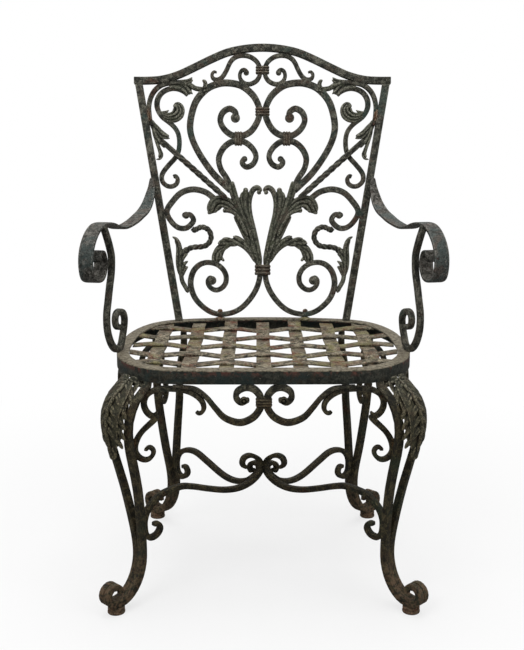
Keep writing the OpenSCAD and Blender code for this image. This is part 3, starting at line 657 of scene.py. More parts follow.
@dataclass(frozen=True)
class Knee:
    """Bowed skin of the left knee leaf, in millimetres.

    The rib is a row of heights and distances inwards, bow is how far the sides at half lie further in, and
    drift is how far the leaf moves to the front for each millimetre below a height.
    """

    pad: tuple[float, float] = (-258.0, -235.56)
    rib: tuple[tuple[float, float], ...] = (
        (260, 8), (267, 5), (277, 1), (289, -4), (303, -9), (318, -12), (334, -13.4), (350, -12.2), (366, -9),
        (382, -0.5), (396, 13), (408, 30), (416, 39))
    bow: float = 14.0
    half: float = 26.0
    drift: float = 0.085
    drift_below: float = 352.0

    def at(self, across: float, along: float, lift: float) -> Vector:
        """Point of the leaf.

        Args:
            across: distance from the middle rib, positive to the front.
            along: height.
            lift: distance out of its face.

        Returns:
            The point in metres.
        """
        inward = self.rib[-1][1]
        for (z0, p0), (z1, p1) in zip(self.rib, self.rib[1:]):
            if along < z1:
                t = max(0.0, (along - z0) / (z1 - z0))
                inward = p0 + (p1 - p0) * t
                break
        p = inward + self.bow * (across / self.half) ** 2 - lift
        across += self.drift * max(0.0, self.drift_below - along)
        root = math.sqrt(2)
        return Vector((self.pad[0] + (p + across) / root, self.pad[1] + (p - across) / root, along)) * MM


def axes(x: Vector, y: Vector, z: Vector, at: Vector) -> Matrix:
    """Matrix of three axes and a place."""
    return Matrix(((x.x, y.x, z.x, at.x), (x.y, y.y, z.y, at.y), (x.z, y.z, z.z, at.z), (0, 0, 0, 1)))


def first_ring(bm: Mesh, placing: Matrix, sides: int, squareness: float = 1.0, hollow: float = FLAT) -> Face:
    """Starts a bar or a ridge with its first section.

    Args:
        bm: mesh that it goes to.
        placing: place and size of the section.
        sides: number of its corners.
        squareness: power that turns a circle into a rounded square.
        hollow: groove value in the middle of a square's faces.

    Returns:
        The section's face.
    """
    square = squareness < 1.0
    start = Matrix() if square else placing
    ring = bmesh.ops.create_circle(bm, cap_ends=True, segments=sides, radius=1.0, matrix=start)["verts"]
    if square:
        wear = bm.verts.layers.float[GROOVE]
        for v in ring:
            v.co.x, v.co.y = (math.copysign(abs(c) ** squareness, c) if abs(c) > 1e-4 else 0.0 for c in v.co.xy)
            corner, middle = abs(abs(v.co.x) - abs(v.co.y)) < 1e-3, abs(v.co.x * v.co.y) < 1e-3
            v[wear] = EDGE if corner else hollow if middle else FLAT
        bmesh.ops.transform(bm, matrix=placing, verts=ring)
    return ring[0].link_faces[0]


def lofted(bm: Mesh, cap: Face, frames: Sequence[Matrix], grooves: Sequence[float] = ()) -> None:
    """Extrudes a face through a row of placings.

    Args:
        bm: mesh of the face.
        cap: the face, which lies in the first placing.
        frames: the placings.
        grooves: how deep each ring lies in a groove, if that is to be kept.
    """
    layer = bm.verts.layers.float.get(GROOVE)
    ring = list(cap.verts)
    for i, placing in enumerate(frames):
        if i:
            grown = bmesh.ops.extrude_face_region(bm, geom=[cap])["geom"]
            cap = next(g for g in grown if isinstance(g, Face))
            ring = [g for g in grown if isinstance(g, bmesh.types.BMVert)]
            bmesh.ops.transform(bm, matrix=placing @ frames[i - 1].inverted(), verts=ring)
        if grooves:
            for v in ring:
                v[layer] = grooves[i]


@dataclass
class Casting:
    """Cast leaf: ridges swept along drawn strokes and fused into one skin."""

    at: Callable[..., Vector]
    sides: int = 10
    samples: int = 4
    cell: float = 0.8 * MM
    backing: float = 2.6

    def half(self, stroke: Stroke, width: float) -> tuple[float, float]:
        """Half width and half depth of a stroke's section."""
        return width / 2, (width * stroke.depth + self.backing) / 2

    def rounding(self, from_end: int) -> float:
        """Share of a section that is left, that many stations from the nearer end."""
        return min(1.0, 0.45 + 0.4 * from_end)

    def cap(self, bm: Mesh, placing: Matrix) -> Face:
        """First ring of a ridge."""
        return first_ring(bm, placing, self.sides)

    def frame_at(self, stations: Sequence[Point], i: int, stroke: Stroke) -> Matrix:
        """Placing of the ring at one station of a stroke.

        Args:
            stations: points and widths.
            i: which of them.
            stroke: the stroke that they belong to.

        Returns:
            Matrix whose axes are half the ring's width, half its depth and the way ahead.
        """
        last = len(stations) - 1

        def spot(k: int, more: float = 0.0) -> Vector:
            return self.at(*stations[k][:-1], stroke.lift + stroke.curl * (k / last) ** 2 + more)

        here = spot(i)
        along = (spot(min(i + 1, last)) - spot(max(i - 1, 0))).normalized()
        side = along.cross((spot(i, 1.0) - here).normalized()).normalized()
        share = self.rounding(min(i, last - i)) * MM
        wide, deep = self.half(stroke, stations[i][-1])
        return axes(side * (share * wide), side.cross(along) * (share * deep), along * MM, here)

    def sweep(self, bm: Mesh, stroke: Stroke) -> None:
        """Adds one ridge or bar.

        Args:
            bm: mesh that it goes to.
            stroke: its line.
        """
        stations = stroke.stations(self.samples)
        frames = [self.frame_at(stations, i, stroke) for i in range(len(stations))]
        lofted(bm, self.cap(bm, frames[0]), frames)

    def cast(self, strokes: Iterable[Stroke]) -> Mesh:
        """Fuses ridges into one skin, and notes its grooves.

        Args:
            strokes: the ridges.

        Returns:
            The skin.
        """
        rough = bmesh.new()
        for stroke in strokes:
            self.sweep(rough, stroke)
        bmesh.ops.recalc_face_normals(rough, faces=rough.faces)
        skin = fused(rough, self.cell)
        note_grooves(skin)
        return skin


def fused(rough: Mesh, cell: float) -> Mesh:
    """Joins overlapping closed shapes into one smooth skin.

    Args:
        rough: the shapes, freed here.
        cell: size of the skin's faces.

    Returns:
        The skin.
    """
    mesh = bpy.data.meshes.new("rough")
    rough.to_mesh(mesh)
    rough.free()
    work = bpy.data.objects.new("rough", mesh)
    bpy.context.scene.collection.objects.link(work)
    joined = work.modifiers.new("fuse", "REMESH")
    joined.mode = "VOXEL"
    joined.voxel_size = cell
    skin = bmesh.new()
    skin.from_object(work, bpy.context.evaluated_depsgraph_get())
    bpy.data.objects.remove(work)
    bpy.data.meshes.remove(mesh)
    bmesh.ops.smooth_vert(skin, verts=skin.verts, factor=0.5, use_axis_x=True, use_axis_y=True, use_axis_z=True)
    for face in skin.faces:
        face.smooth = True
    return skin


def note_grooves(bm: Mesh, spread: int = 3, contrast: float = 4.4) -> None:
    """Keeps on each vertex how deep it lies in a groove: half on flat faces, less on ridges.

    Args:
        bm: mesh to mark.
        spread: rounds of averaging.
        contrast: how fast the value grows with the hollow.
    """
    bm.normal_update()
    layer = bm.verts.layers.float.new(GROOVE)
    for v in bm.verts:
        ring = [e.other_vert(v).co for e in v.link_edges]
        middle = sum(ring, Vector()) / len(ring)
        size = sum((r - v.co).length for r in ring) / len(ring)
        v[layer] = (middle - v.co).dot(v.normal) / size
    for _ in range(spread):
        mean = [sum(e.other_vert(v)[layer] for e in v.link_edges) / len(v.link_edges) for v in bm.verts]
        for v, m in zip(bm.verts, mean):
            v[layer] = 0.5 * (v[layer] + m)
    for v in bm.verts:
        v[layer] = max(0.0, min(1.0, FLAT + contrast * v[layer]))


def mirrored(bm: Mesh) -> Mesh:
    """Copy of a shape on the other side of the chair.

    Args:
        bm: the shape.

    Returns:
        Its mirror image, with its faces turned outwards again.
    """
    other = bm.copy()
    bmesh.ops.scale(other, vec=(-1, 1, 1), verts=other.verts)
    bmesh.ops.reverse_faces(other, faces=other.faces)
    return other


def polished(bm: Mesh, crease: float = math.radians(50)) -> Mesh:
    """Points faces outwards and shades them smooth, apart from edges sharper than the crease."""
    bmesh.ops.recalc_face_normals(bm, faces=bm.faces)
    return smoothed(bm, crease)


@dataclass
class Forging(Casting):
    """Square bar drawn along a line, with worn, rounded edges."""

    samples: int = 5
    sides: int = 16
    thick: float = 11.0
    squareness: float = 0.3
    hollow: float = FLAT
    end: float = 0.84

    def half(self, stroke: Stroke, width: float) -> tuple[float, float]:
        """Half width and half depth of the bar."""
        return width / 2, self.thick / 2

    def rounding(self, from_end: int) -> float:
        """Share of the section that is left near an end."""
        return 1.0 if from_end else self.end

    def cap(self, bm: Mesh, placing: Matrix) -> Face:
        """First rounded square of a bar."""
        return first_ring(bm, placing, self.sides, self.squareness, self.hollow)

    def draw(self, strokes: Iterable[Stroke]) -> Mesh:
        """Draws bars.

        Args:
            strokes: their lines.

        Returns:
            The bars.
        """
        bm = bmesh.new()
        bm.verts.layers.float.new(GROOVE)
        for stroke in strokes:
            self.sweep(bm, stroke)
        return polished(bm)


@dataclass
class Strap(Forging):
    """Flat bar that is bent over its thin side. A stroke's width is across the strap."""

    thick: float = 5.2

    def half(self, stroke: Stroke, width: float) -> tuple[float, float]:
        """Half thickness and half width of the strap."""
        return self.thick / 2, width / 2


@dataclass
class Twist(Forging):
    """Square bar that is twisted about itself over part of its length."""

    turn: float = math.radians(630)
    start: float = 0.27
    stop: float = 0.9
    samples: int = 60
    squareness: float = 0.55
    # Groove value along the middle of each face, high enough to lay painted shade along the twist.
    hollow: float = 0.74

    def frame_at(self, stations: Sequence[Point], i: int, stroke: Stroke) -> Matrix:
        """Placing of one section, turned about the bar.

        Args:
            stations: points and widths.
            i: which of them.
            stroke: the bar's line.

        Returns:
            The placing.
        """
        share = (i / (len(stations) - 1) - self.start) / (self.stop - self.start)
        turn = Matrix.Rotation(self.turn * max(0.0, min(1.0, share)), 4, "Z")
        return super().frame_at(stations, i, stroke) @ turn


@dataclass(frozen=True)
class Fitting:
    """Small part that is lofted through rings and sits on the ground of some bars, in millimetres."""

    across: float
    along: float

    SIDES = 20
    SQUARENESS = 1.0

    def stance(self, right: Vector, up: Vector, front: Vector) -> tuple[Vector, Vector, Vector]:
        """Ways of the rings' width and depth, and the way in which they are stacked."""
        raise NotImplementedError

    def rings(self) -> list[Point]:
        """Place along the stack, half width, half depth and groove value of each ring."""
        raise NotImplementedError

    def add(self, bm: Mesh, ground: Ground) -> None:
        """Adds the part to a mesh.

        Args:
            bm: the mesh.
            ground: where it sits.
        """
        middle = ground.at(self.across, self.along, 0)
        steps = ((1, 0, 0), (0, 1, 0), (0, 0, 1))
        right, up, front = (
            (ground.at(self.across + x, self.along + y, z) - middle).normalized() for x, y, z in steps)
        placing = axes(*self.stance(right, up, front), middle)
        rings = self.rings()
        frames = [
            placing @ Matrix.Translation((0, 0, t * MM)) @ Matrix.Diagonal((wide * MM, deep * MM, MM, 1))
            for t, wide, deep, _ in rings]
        cap = first_ring(bm, frames[0], self.SIDES, self.SQUARENESS)
        lofted(bm, cap, frames, [groove for *_, groove in rings])


@dataclass(frozen=True)
class Collar(Fitting):
    """Ribbed collar round two bars."""

    wide: float
    tall: float
    deep: float
    lying: bool = False
    beads: int = 3

    SIDES = 16
    SQUARENESS = 0.42
    # Place in the bead, swelling and groove value. Values above FLAT lay painted shade between the beads and at
    # the foot.
    FOOT = (0.0, -0.8, 0.6)
    BEAD = (
        (0.1, -0.25, 0.5), (0.24, 0.3, 0.42), (0.42, 0.6, 0.3), (0.58, 0.6, 0.26), (0.76, 0.3, 0.42),
        (0.9, -0.25, 0.5), (1.0, -0.8, 0.72))

    def stance(self, right: Vector, up: Vector, front: Vector) -> tuple[Vector, Vector, Vector]:
        """Stacked along the bars, which stand or lie."""
        up = front.cross(right)
        return (up, front, right) if self.lying else (right, front, up)

    def rings(self) -> list[Point]:
        """Rings of all beads."""
        rows = [self.FOOT] + [(k + t, swell, groove) for k in range(self.beads) for t, swell, groove in self.BEAD]
        return [((t / self.beads - 0.5) * self.tall, self.wide / 2 + swell, self.deep / 2 + swell, groove)
                for t, swell, groove in rows]


@dataclass(frozen=True)
class Eye(Fitting):
    """Solid eye that a scroll's end is rolled into."""

    radius: float
    thick: float = 11.4

    SIDES = 24
    # Shares of the thickness and of the radius, and groove value. The high value at the dimple lays painted shade
    # there.
    ROWS = (
        (-0.5, 0.74, 0.4), (-0.43, 0.93, 0.25), (-0.28, 1.0, 0.5), (0.28, 1.0, 0.5), (0.43, 0.93, 0.25),
        (0.5, 0.74, 0.4), (0.47, 0.52, 0.75), (0.53, 0.34, 0.4), (0.56, 0.14, 0.3))

    def stance(self, right: Vector, up: Vector, front: Vector) -> tuple[Vector, Vector, Vector]:
        """Stacked out of the front."""
        return right, front.cross(right), front

    def rings(self) -> list[Point]:
        """Rings from the back to the dimple in front."""
        return [(t * self.thick, r * self.radius, r * self.radius, groove) for t, r, groove in self.ROWS]


@dataclass(frozen=True)
class Rivet(Eye):
    """Round rivet head that stands on a bar. Its thickness is its height."""

    SIDES = 20
    # The groove value at the foot lays painted shade where the rivet sits on the bar.
    ROWS = (
        (0.0, 1.0, 0.7), (0.4, 1.0, 0.45), (0.7, 0.84, 0.3), (0.9, 0.56, 0.3), (1.0, 0.22, 0.35))

    def stance(self, right: Vector, up: Vector, front: Vector) -> tuple[Vector, Vector, Vector]:
        """Stacked upwards."""
        return front, up.cross(front), up


# The back's plane, from the middle of its foot on the seat.
BACK = Ground.leaning((0.0, 151.44, 440.0), 11.0)

# Bars of the left half of the back, on its plane.
CREST = Stroke((
    (-92, 498.6, 3.5), (-97.5, 499.6, 5), (-101.2, 494.5, 6.4), (-100.4, 488.2, 7.4), (-95.4, 484.4, 8.2),
    (-88.6, 484.2, 8.6), (-82.2, 488, 8.7), (-76.8, 494.6, 8.8), (-71, 505.3, 8.8), (-66, 516.4, 8.8),
    (-59.3, 525.4, 8.8), (-49.3, 531, 8.8), (-37.7, 532.4, 8.8), (-24.4, 529.6, 8.8), (-12.7, 521.5, 8.8),
    (-6.4, 511.5, 8.8), (-4.9, 503.4, 8.8), (-5.6, 492.5, 8.8), (-11.1, 482.6, 8.8), (-19.4, 477, 8.7),
    (-27.7, 474.9, 8.6), (-36, 476.6, 8.4), (-43, 483, 8), (-45.6, 492, 7.6), (-43.2, 500.4, 7.2),
    (-37.6, 504, 6.8), (-32.4, 501.6, 6.4), (-31.8, 497.6, 6)))

TWISTED = Stroke(((-203, 361, 10.8), (-74, 246, 10.8)), lift=6.9)

CORNER_S = Stroke((
    (-150.5, 453.6, 8.6), (-157.5, 460.3, 9.4), (-169, 465.8, 9.8), (-181.8, 467.1, 9.8), (-194.6, 463.5, 10),
    (-204.9, 455.9, 10.4), (-211.3, 444.4, 11), (-212.4, 431.6, 11), (-208.8, 420.2, 10.4), (-201.1, 409.3, 10),
    (-189.6, 400.4, 9.8), (-179.4, 391.4, 9.6), (-171.7, 380.6, 9.6), (-168.1, 367.8, 9.6),
    (-167.7, 352.5, 9.6), (-170.3, 338.4, 9.6), (-176.7, 326.9, 9.6), (-187.2, 315.4, 9.6),
    (-198.8, 301.3, 9.6), (-203.4, 290.5, 9.6), (-201.6, 279.6, 9.6), (-193, 271.6, 9.4), (-182.4, 270.4, 9.2),
    (-173.6, 275.6, 9), (-171.2, 284.4, 8.8), (-175.2, 290.8, 8.4), (-180, 289.6, 7.6)), lift=-3.6)

CORNER_SCROLL = Stroke((
    (-221.6, 391, 6.5), (-224.6, 399, 8.6), (-226.8, 407.4, 9.2), (-228, 418.9, 9.2), (-228.3, 431.6, 9.2),
    (-225.1, 447, 9.4), (-217.7, 461, 9.6), (-204.9, 472.3, 9.8), (-189.5, 477.3, 9.8), (-171.5, 478.4, 8.4),
    (-158, 479.4, 6.5)), lift=-0.6)

BASE_SCROLL = Stroke((
    (-5.6, 108, 10.8), (-5.6, 90.1, 11.2), (-8.3, 75.7, 11.4), (-14.9, 59.3, 11.4), (-27.3, 40.8, 11.4),
    (-43.7, 24.6, 11.2), (-62.3, 15.4, 11), (-84.9, 12.2, 10.8), (-105.5, 17.3, 11), (-124, 30.5, 11.2),
    (-137.4, 46.9, 11.4), (-144.6, 67.5, 11.8), (-144.6, 84, 11.8), (-139, 100.2, 11.6), (-128, 111.8, 11.2),
    (-115, 116.6, 10.8), (-102.5, 116.1, 10.8), (-91.2, 112.4, 10.8), (-81, 104.1, 10.8), (-74.8, 93.4, 10.8),
    (-73.4, 83.4, 10.8), (-75.9, 73, 10.8), (-84.1, 64.3, 10.6), (-94.3, 61.2, 10.4), (-104.1, 65.2, 10),
    (-109.7, 73, 9.6), (-110.2, 81, 9.2), (-106, 86.4, 8.6), (-101.5, 85, 8)))

HOOK = Stroke((
    (-142, 186, 9.8), (-137.2, 182, 9.8), (-132, 184.6, 9.8), (-123.8, 188, 9.8), (-115.6, 186.6, 9.8),
    (-107.6, 180.5, 9.8), (-103.9, 169.2, 9.8), (-106.6, 158.9, 9.8), (-114.6, 151, 9.8), (-125.9, 148.3, 9.8),
    (-138.2, 147.6, 9.8), (-148.5, 144.6, 9.8), (-155.7, 137.4, 9.6), (-163, 131, 8.6)))

# Arm, arm support, stretchers and front bracket of the left half, each on its own ground.
ARM = Stroke((
    (392, 722, 8), (387.5, 705, 14), (376, 691.5, 18.5), (354, 675, 22.5), (321, 663, 25), (281, 656.5, 25.4),
    (241, 651.5, 25.4), (180, 649, 25.4), (139, 653.5, 25.4), (97, 664, 25.4), (64, 669, 25.4), (32, 669, 25.4),
    (3, 661, 25.4), (-20, 646.5, 25.4), (-33.6, 628, 25.4), (-35.2, 606, 25.4), (-25, 588, 25.4),
    (0, 579.5, 25.2), (24, 580.5, 25), (40, 592, 24.6), (44, 608, 24.2), (36, 622, 23.8), (23, 626, 23.4),
    (13, 619.5, 23), (15.5, 610.5, 22)))

SUPPORT = Stroke((
    (-270.6, -159.1, 668, 10.4), (-264.6, -156, 645, 10.6), (-261.8, -142, 621, 10.7),
    (-262.1, -134, 604.8, 10.7), (-263.8, -131.6, 582.5, 10.7), (-266.1, -138.2, 562, 10.7),
    (-267.9, -148.8, 539.6, 10.7), (-270.2, -154.8, 516.3, 10.7), (-270.7, -153, 493.7, 10.7),
    (-269.6, -145.1, 475.2, 10.7), (-266.8, -134, 458.4, 10.7), (-262.7, -122.6, 447.4, 10.7),
    (-258.7, -111, 443.3, 10.7), (-255, -98.6, 448.2, 10.7), (-252.3, -89.4, 464.3, 10.5),
    (-249.9, -86.5, 479.2, 10.3), (-248.3, -90.6, 495.2, 10), (-249.8, -99.6, 507, 9.8),
    (-254.4, -110.7, 512.4, 9.6), (-258.8, -121.6, 509, 9.4), (-259.9, -127.6, 499.4, 9),
    (-258.8, -125.6, 489.6, 8.8), (-255.4, -118.6, 484.4, 8.4), (-252.8, -114.4, 488, 8)))

FRONT_CROSSING = Stroke((
    (33.1, 140, 7.6), (43.1, 139, 8.4), (47.1, 129, 9.6), (39.1, 119, 10), (26.1, 117, 10.5), (17.1, 125, 10.5),
    (14.1, 139, 10.5), (15.1, 155, 10.5), (22.1, 170, 10.5), (37.1, 184, 10.5), (56.1, 193, 10.5),
    (92.5, 196.4, 10.5), (118.5, 190.6, 10.5), (153.9, 178, 10.5), (190.2, 166.6, 10.5), (221.2, 162, 10.5),
    (246.5, 164.6, 10.5), (265.7, 172.6, 10.5), (277.4, 182.9, 10), (280.2, 194.3, 9.6), (274.8, 206.8, 8.8),
    (262.6, 216.4, 8.6), (249.9, 220.6, 8.4), (238.6, 218, 8.2), (234.6, 209.5, 8), (238.4, 201.8, 7.6),
    (244, 199.6, 7)))

REAR_CROSSING = Stroke((
    (33.1, 136, 7.6), (43.1, 135, 8.4), (47.1, 125, 9.6), (39.1, 115, 10), (26.1, 112, 10.5), (17.1, 119, 10.5),
    (14.1, 132, 10.5), (16.1, 149, 10.5), (27.1, 164, 10.5), (49.1, 174, 10.5), (75, 174.8, 10.5),
    (105.9, 163.5, 10.5), (151.4, 146, 10.5), (184.9, 142.6, 10.5), (214.1, 150.6, 10.5), (235.6, 165.6, 10),
    (248, 180.1, 9.6), (248, 190.3, 8.8), (239.2, 193.2, 8.6), (229.3, 189, 8.4), (225, 180.8, 8.2),
    (229.2, 175, 7.8), (235.6, 177.7, 7)))

BRACKET = (
    Stroke((
        (19.3, 367.4, 3.6), (17.4, 365.1, 5.2), (13.8, 364.2, 6.4), (9.4, 366.8, 7.2), (6.6, 372.8, 7.6),
        (7.4, 380.4, 8), (11.3, 387.6, 8.4), (18.4, 394.2, 8.8), (27.4, 399.2, 9), (37.3, 402.4, 9),
        (47.2, 404.1, 9), (59.8, 404.5, 9.2), (72.9, 404.1, 9.4), (85.1, 402.6, 9.6), (96.5, 397.9, 9.8),
        (105.2, 390.3, 9.8), (109.6, 380.5, 9.8), (109.4, 371, 9.8), (104.9, 361.7, 9.8), (97.5, 355.6, 9.6),
        (92, 357, 8), (88.3, 362.4, 3.6))),
    Stroke((
        (88.6, 356.6, 5), (89.4, 351.6, 9), (94.9, 346.2, 10.6), (103.6, 338, 10.4), (112.4, 329.1, 10),
        (119.9, 319.1, 10), (125.1, 308.7, 10.4), (128.1, 297.9, 11), (126.8, 288.2, 10.4), (120.3, 280.2, 9.4),
        (111.8, 276.8, 8.6), (103.7, 278.5, 8.2), (97.4, 284.7, 7.6), (95, 291.8, 7.2), (97.5, 297.5, 7),
        (102.6, 299.5, 6.8), (107.1, 296.9, 6.4), (107.5, 293.4, 6))),
)

BRACKET_WELD = (
    Stroke(((124, 316, 6), (127.6, 308, 9), (130, 297, 10), (128.6, 287, 7)), lift=3.4, depth=0.5),
    Stroke(((130, 313, 5), (133, 301, 8), (132, 292, 5)), lift=1, depth=0.9),
)

# Rust at the weld of the left corner, and primer at the left foot of the back.
RUST_WELDS = (
    Stroke(((-230.2, 424, 4), (-229.4, 415, 6), (-227.4, 405, 5.6), (-226, 399, 4)), lift=4.6, depth=0.9),
    Stroke(((-226, 419, 3), (-224.6, 409, 4.6), (-222.4, 402, 3)), lift=5, depth=0.9),
)

FOOT_WELDS = (
    Stroke(((-98, 2.4, 6), (-86, 3.4, 9), (-72, 2.6, 6)), depth=1.0),
    Stroke(((-93, 4, 7), (-82, 1.6, 7)), lift=4, depth=0.8),
)

# Ridges of the cast leaves of the left half of the back, on its plane.
STEM = (
    Stroke(((-25, 158, 8), (-31.5, 171, 9), (-38, 184, 7)), lift=-1, depth=0.3),
    Stroke((
        (-3.7, 112.4, 10.3), (-9.2, 141.3, 11.3), (-14.3, 166.2, 11.3), (-20.1, 191, 11.3),
        (-24.6, 211.7, 10.3), (-26.6, 232.4, 9.8), (-24.9, 249, 10.6), (-19.8, 262, 11.8), (-11.6, 267.4, 11.8),
        (-5.6, 263.8, 10), (-4.8, 258.5, 7.6)), lift=-0.5, depth=0.75),
    Stroke((
        (-14.3, 162, 10.3), (-24.6, 195.1, 12.4), (-31.8, 217.9, 11), (-34.6, 238.6, 11), (-34.6, 252, 11),
        (-34, 262, 11), (-33.4, 267, 7.5)), curl=3),
    Stroke((
        (-18, 165, 8), (-31, 198, 8), (-37.5, 219, 8), (-42, 238, 9), (-42, 250, 8.5),
        (-38.5, 259, 6.5)), lift=-0.5, curl=2),
    Stroke((
        (-18.4, 162, 10.3), (-32.8, 195.1, 10.4), (-44.1, 222.1, 9), (-53, 246.9, 10.5), (-57.6, 262.5, 10.5),
        (-60, 273.5, 8.5), (-60.5, 279.5, 5.5)), lift=0.8, curl=6.5),
    Stroke((
        (-24, 175, 8), (-38, 204, 8), (-50, 226, 8), (-59, 248, 9.5), (-63.6, 262, 9),
        (-64.6, 272, 6.5)), lift=0.4, curl=5),
    Stroke((
        (-26.6, 182.7, 6.2), (-43, 211.7, 7.2), (-57.4, 234.5, 8.2), (-71.8, 244.8, 8.2), (-88.1, 247.9, 8.2),
        (-99.6, 243, 10.4), (-106, 231.6, 11.4), (-108.4, 218.4, 9.4)), lift=1.2, curl=2.5),
    Stroke((
        (-26.6, 178.6, 7.2), (-43, 205.5, 7.2), (-61.5, 228.3, 8.2), (-77.9, 238.2, 8.7), (-92.2, 238.6, 10),
        (-100, 230.3, 10.6), (-104, 217.9, 9.4)), lift=2, curl=2.5),
    Stroke((
        (-28.7, 176.5, 6.2), (-45.1, 201.4, 6.6), (-61.5, 220, 7.2), (-75.8, 229.3, 7.2), (-86.1, 230.3, 7.2),
        (-92.2, 223.1, 7.2), (-96.3, 216.9, 6.2)), lift=2.8, curl=1),
    Stroke(((-94, 226, 9), (-104, 220, 11), (-110, 214.5, 7)), lift=1.5, curl=2),
    Stroke((
        (-30.7, 170.3, 8.2), (-43, 197.2, 8.2), (-55.3, 214.8, 8.7), (-67.6, 220, 8.2), (-75.8, 221, 9.3),
        (-80, 220.6, 8.6)), lift=3.6, curl=1, depth=0.7),
    Stroke(((-6.4, 97.5, 11), (-9.6, 118, 12), (-16.6, 140, 12.6), (-25, 162, 12.4)), lift=-0.4, depth=0.75),
    Stroke(((-8.6, 261.6, 8.2), (-7.2, 257.4, 9.4), (-7.6, 253.6, 6.5)), lift=2, curl=1, depth=0.8),
    Stroke(((-74, 240, 9), (-88, 238, 14), (-97, 229, 17), (-101, 219.5, 14)), lift=0.6, depth=0.22),
    Stroke(((-82, 229, 8), (-94, 223.5, 10), (-104, 216.5, 8)), lift=1.8, curl=1, depth=0.4),
    Stroke(((-47, 238, 8), (-54.5, 252, 9), (-60, 266, 8)), lift=-0.4, curl=4, depth=0.25),
    Stroke(((-30, 236, 9), (-36, 250, 12), (-36, 260, 10)), lift=-0.2, curl=2, depth=0.25),
    Stroke((
        (-10.2, 112.4, 10.3), (-18.4, 135.1, 11.3), (-26.6, 153.8, 11.3), (-36.9, 172.4, 10.3),
        (-47.1, 193.1, 9.3), (-57.4, 209.6, 6.2)), lift=-0.8, depth=0.7),
    Stroke(((-6.5, 116, 6), (-14, 142, 7), (-21, 164, 7), (-28, 186, 6)), lift=1.2),
)

BASE = (
    Stroke((
        (-14.3, 116.5, 7.2), (-24.6, 135.1, 9.3), (-38.9, 149.6, 10.3), (-55.3, 156.9, 10.3),
        (-71.8, 151.7, 10.3), (-81, 141.3, 10.3), (-85.1, 128.9, 9.3), (-87.2, 120.6, 7.2)), depth=0.7),
    Stroke((
        (-24.6, 137.2, 8.2), (-36.9, 153.8, 9.3), (-49.2, 164.1, 8.3), (-59.4, 169.6, 5.2)), lift=0.6, curl=3),
    Stroke(((-22, 140, 5), (-33, 155, 6), (-45, 165, 6), (-56, 171, 4)), lift=-1, curl=2),
    Stroke((
        (-34.9, 145.5, 8.2), (-55.3, 157.9, 8.3), (-69.7, 163.6, 8.3),
        (-80.9, 164.6, 5.2)), lift=1.2, curl=2.5),
    Stroke(((-46, 153, 6), (-62, 160, 6.5), (-78, 161, 6.5), (-88, 159, 4.5)), lift=0.4, curl=3),
    Stroke(((-51.2, 151.7, 8.2), (-69.7, 153.8, 9.3), (-84, 155.8, 9.3), (-90.2, 154.8, 5.2)), lift=1, curl=2),
    Stroke((
        (-65.6, 149.6, 8.3), (-86.1, 146.5, 9.3), (-96.8, 135.6, 8.3), (-99.9, 122.7, 6.2),
        (-97.3, 117.6, 4.1)), lift=0.4, curl=2.5),
    Stroke(((-68, 148, 6), (-84, 141, 7), (-91.5, 130, 7), (-92, 118.5, 5)), lift=1.4, curl=1),
    Stroke(((-83, 128, 6), (-80, 122, 6), (-77, 120.5, 4)), lift=0.6, curl=2),
    Stroke(((-70, 153, 12), (-83, 147.5, 17), (-90.5, 136, 20), (-91, 125, 17), (-91, 116, 10)), depth=0.2),
    Stroke(((-36, 152, 9), (-50, 160, 12), (-60, 166.5, 8)), lift=-0.3, depth=0.22),
    Stroke(((-60, 157, 10), (-76, 159.5, 12), (-87, 158, 8)), lift=0.2, depth=0.22),
)

SIDE = (
    Stroke((
        (-150.4, 55.8, 8.1), (-155.4, 66.8, 9.6), (-162.1, 79.2, 9.6), (-164.7, 94.6, 9.6), (-166, 110, 9.1),
        (-165.7, 125.4, 9.1), (-165.5, 140.8, 8.6), (-168.4, 154.6, 8.1), (-174, 163.9, 7.1),
        (-182, 168.7, 4)), lift=0.4, depth=0.7),
    Stroke((
        (-162, 84, 6), (-168.5, 98, 7), (-171.6, 112, 7), (-172.2, 126, 7), (-171.6, 140, 6.5),
        (-172.5, 152, 6), (-177, 162, 4)), lift=-0.6),
    Stroke(((-164, 90, 6), (-161, 105.4, 7), (-156.9, 114.6, 7.1), (-150.3, 119.7, 4)), lift=1, curl=3),
    Stroke(((-162, 88, 5), (-158.4, 98.7, 7), (-154.4, 106, 7.1), (-150.5, 108, 4)), lift=0.5, curl=3),
    Stroke(((-165, 108, 6), (-162, 122, 7.5), (-156.5, 131, 7.5), (-151, 134.5, 5)), lift=0.8, curl=2),
    Stroke(((-164, 120, 6), (-161.5, 134, 7), (-157, 143, 7), (-151, 147, 6)), lift=0.2, curl=1),
)

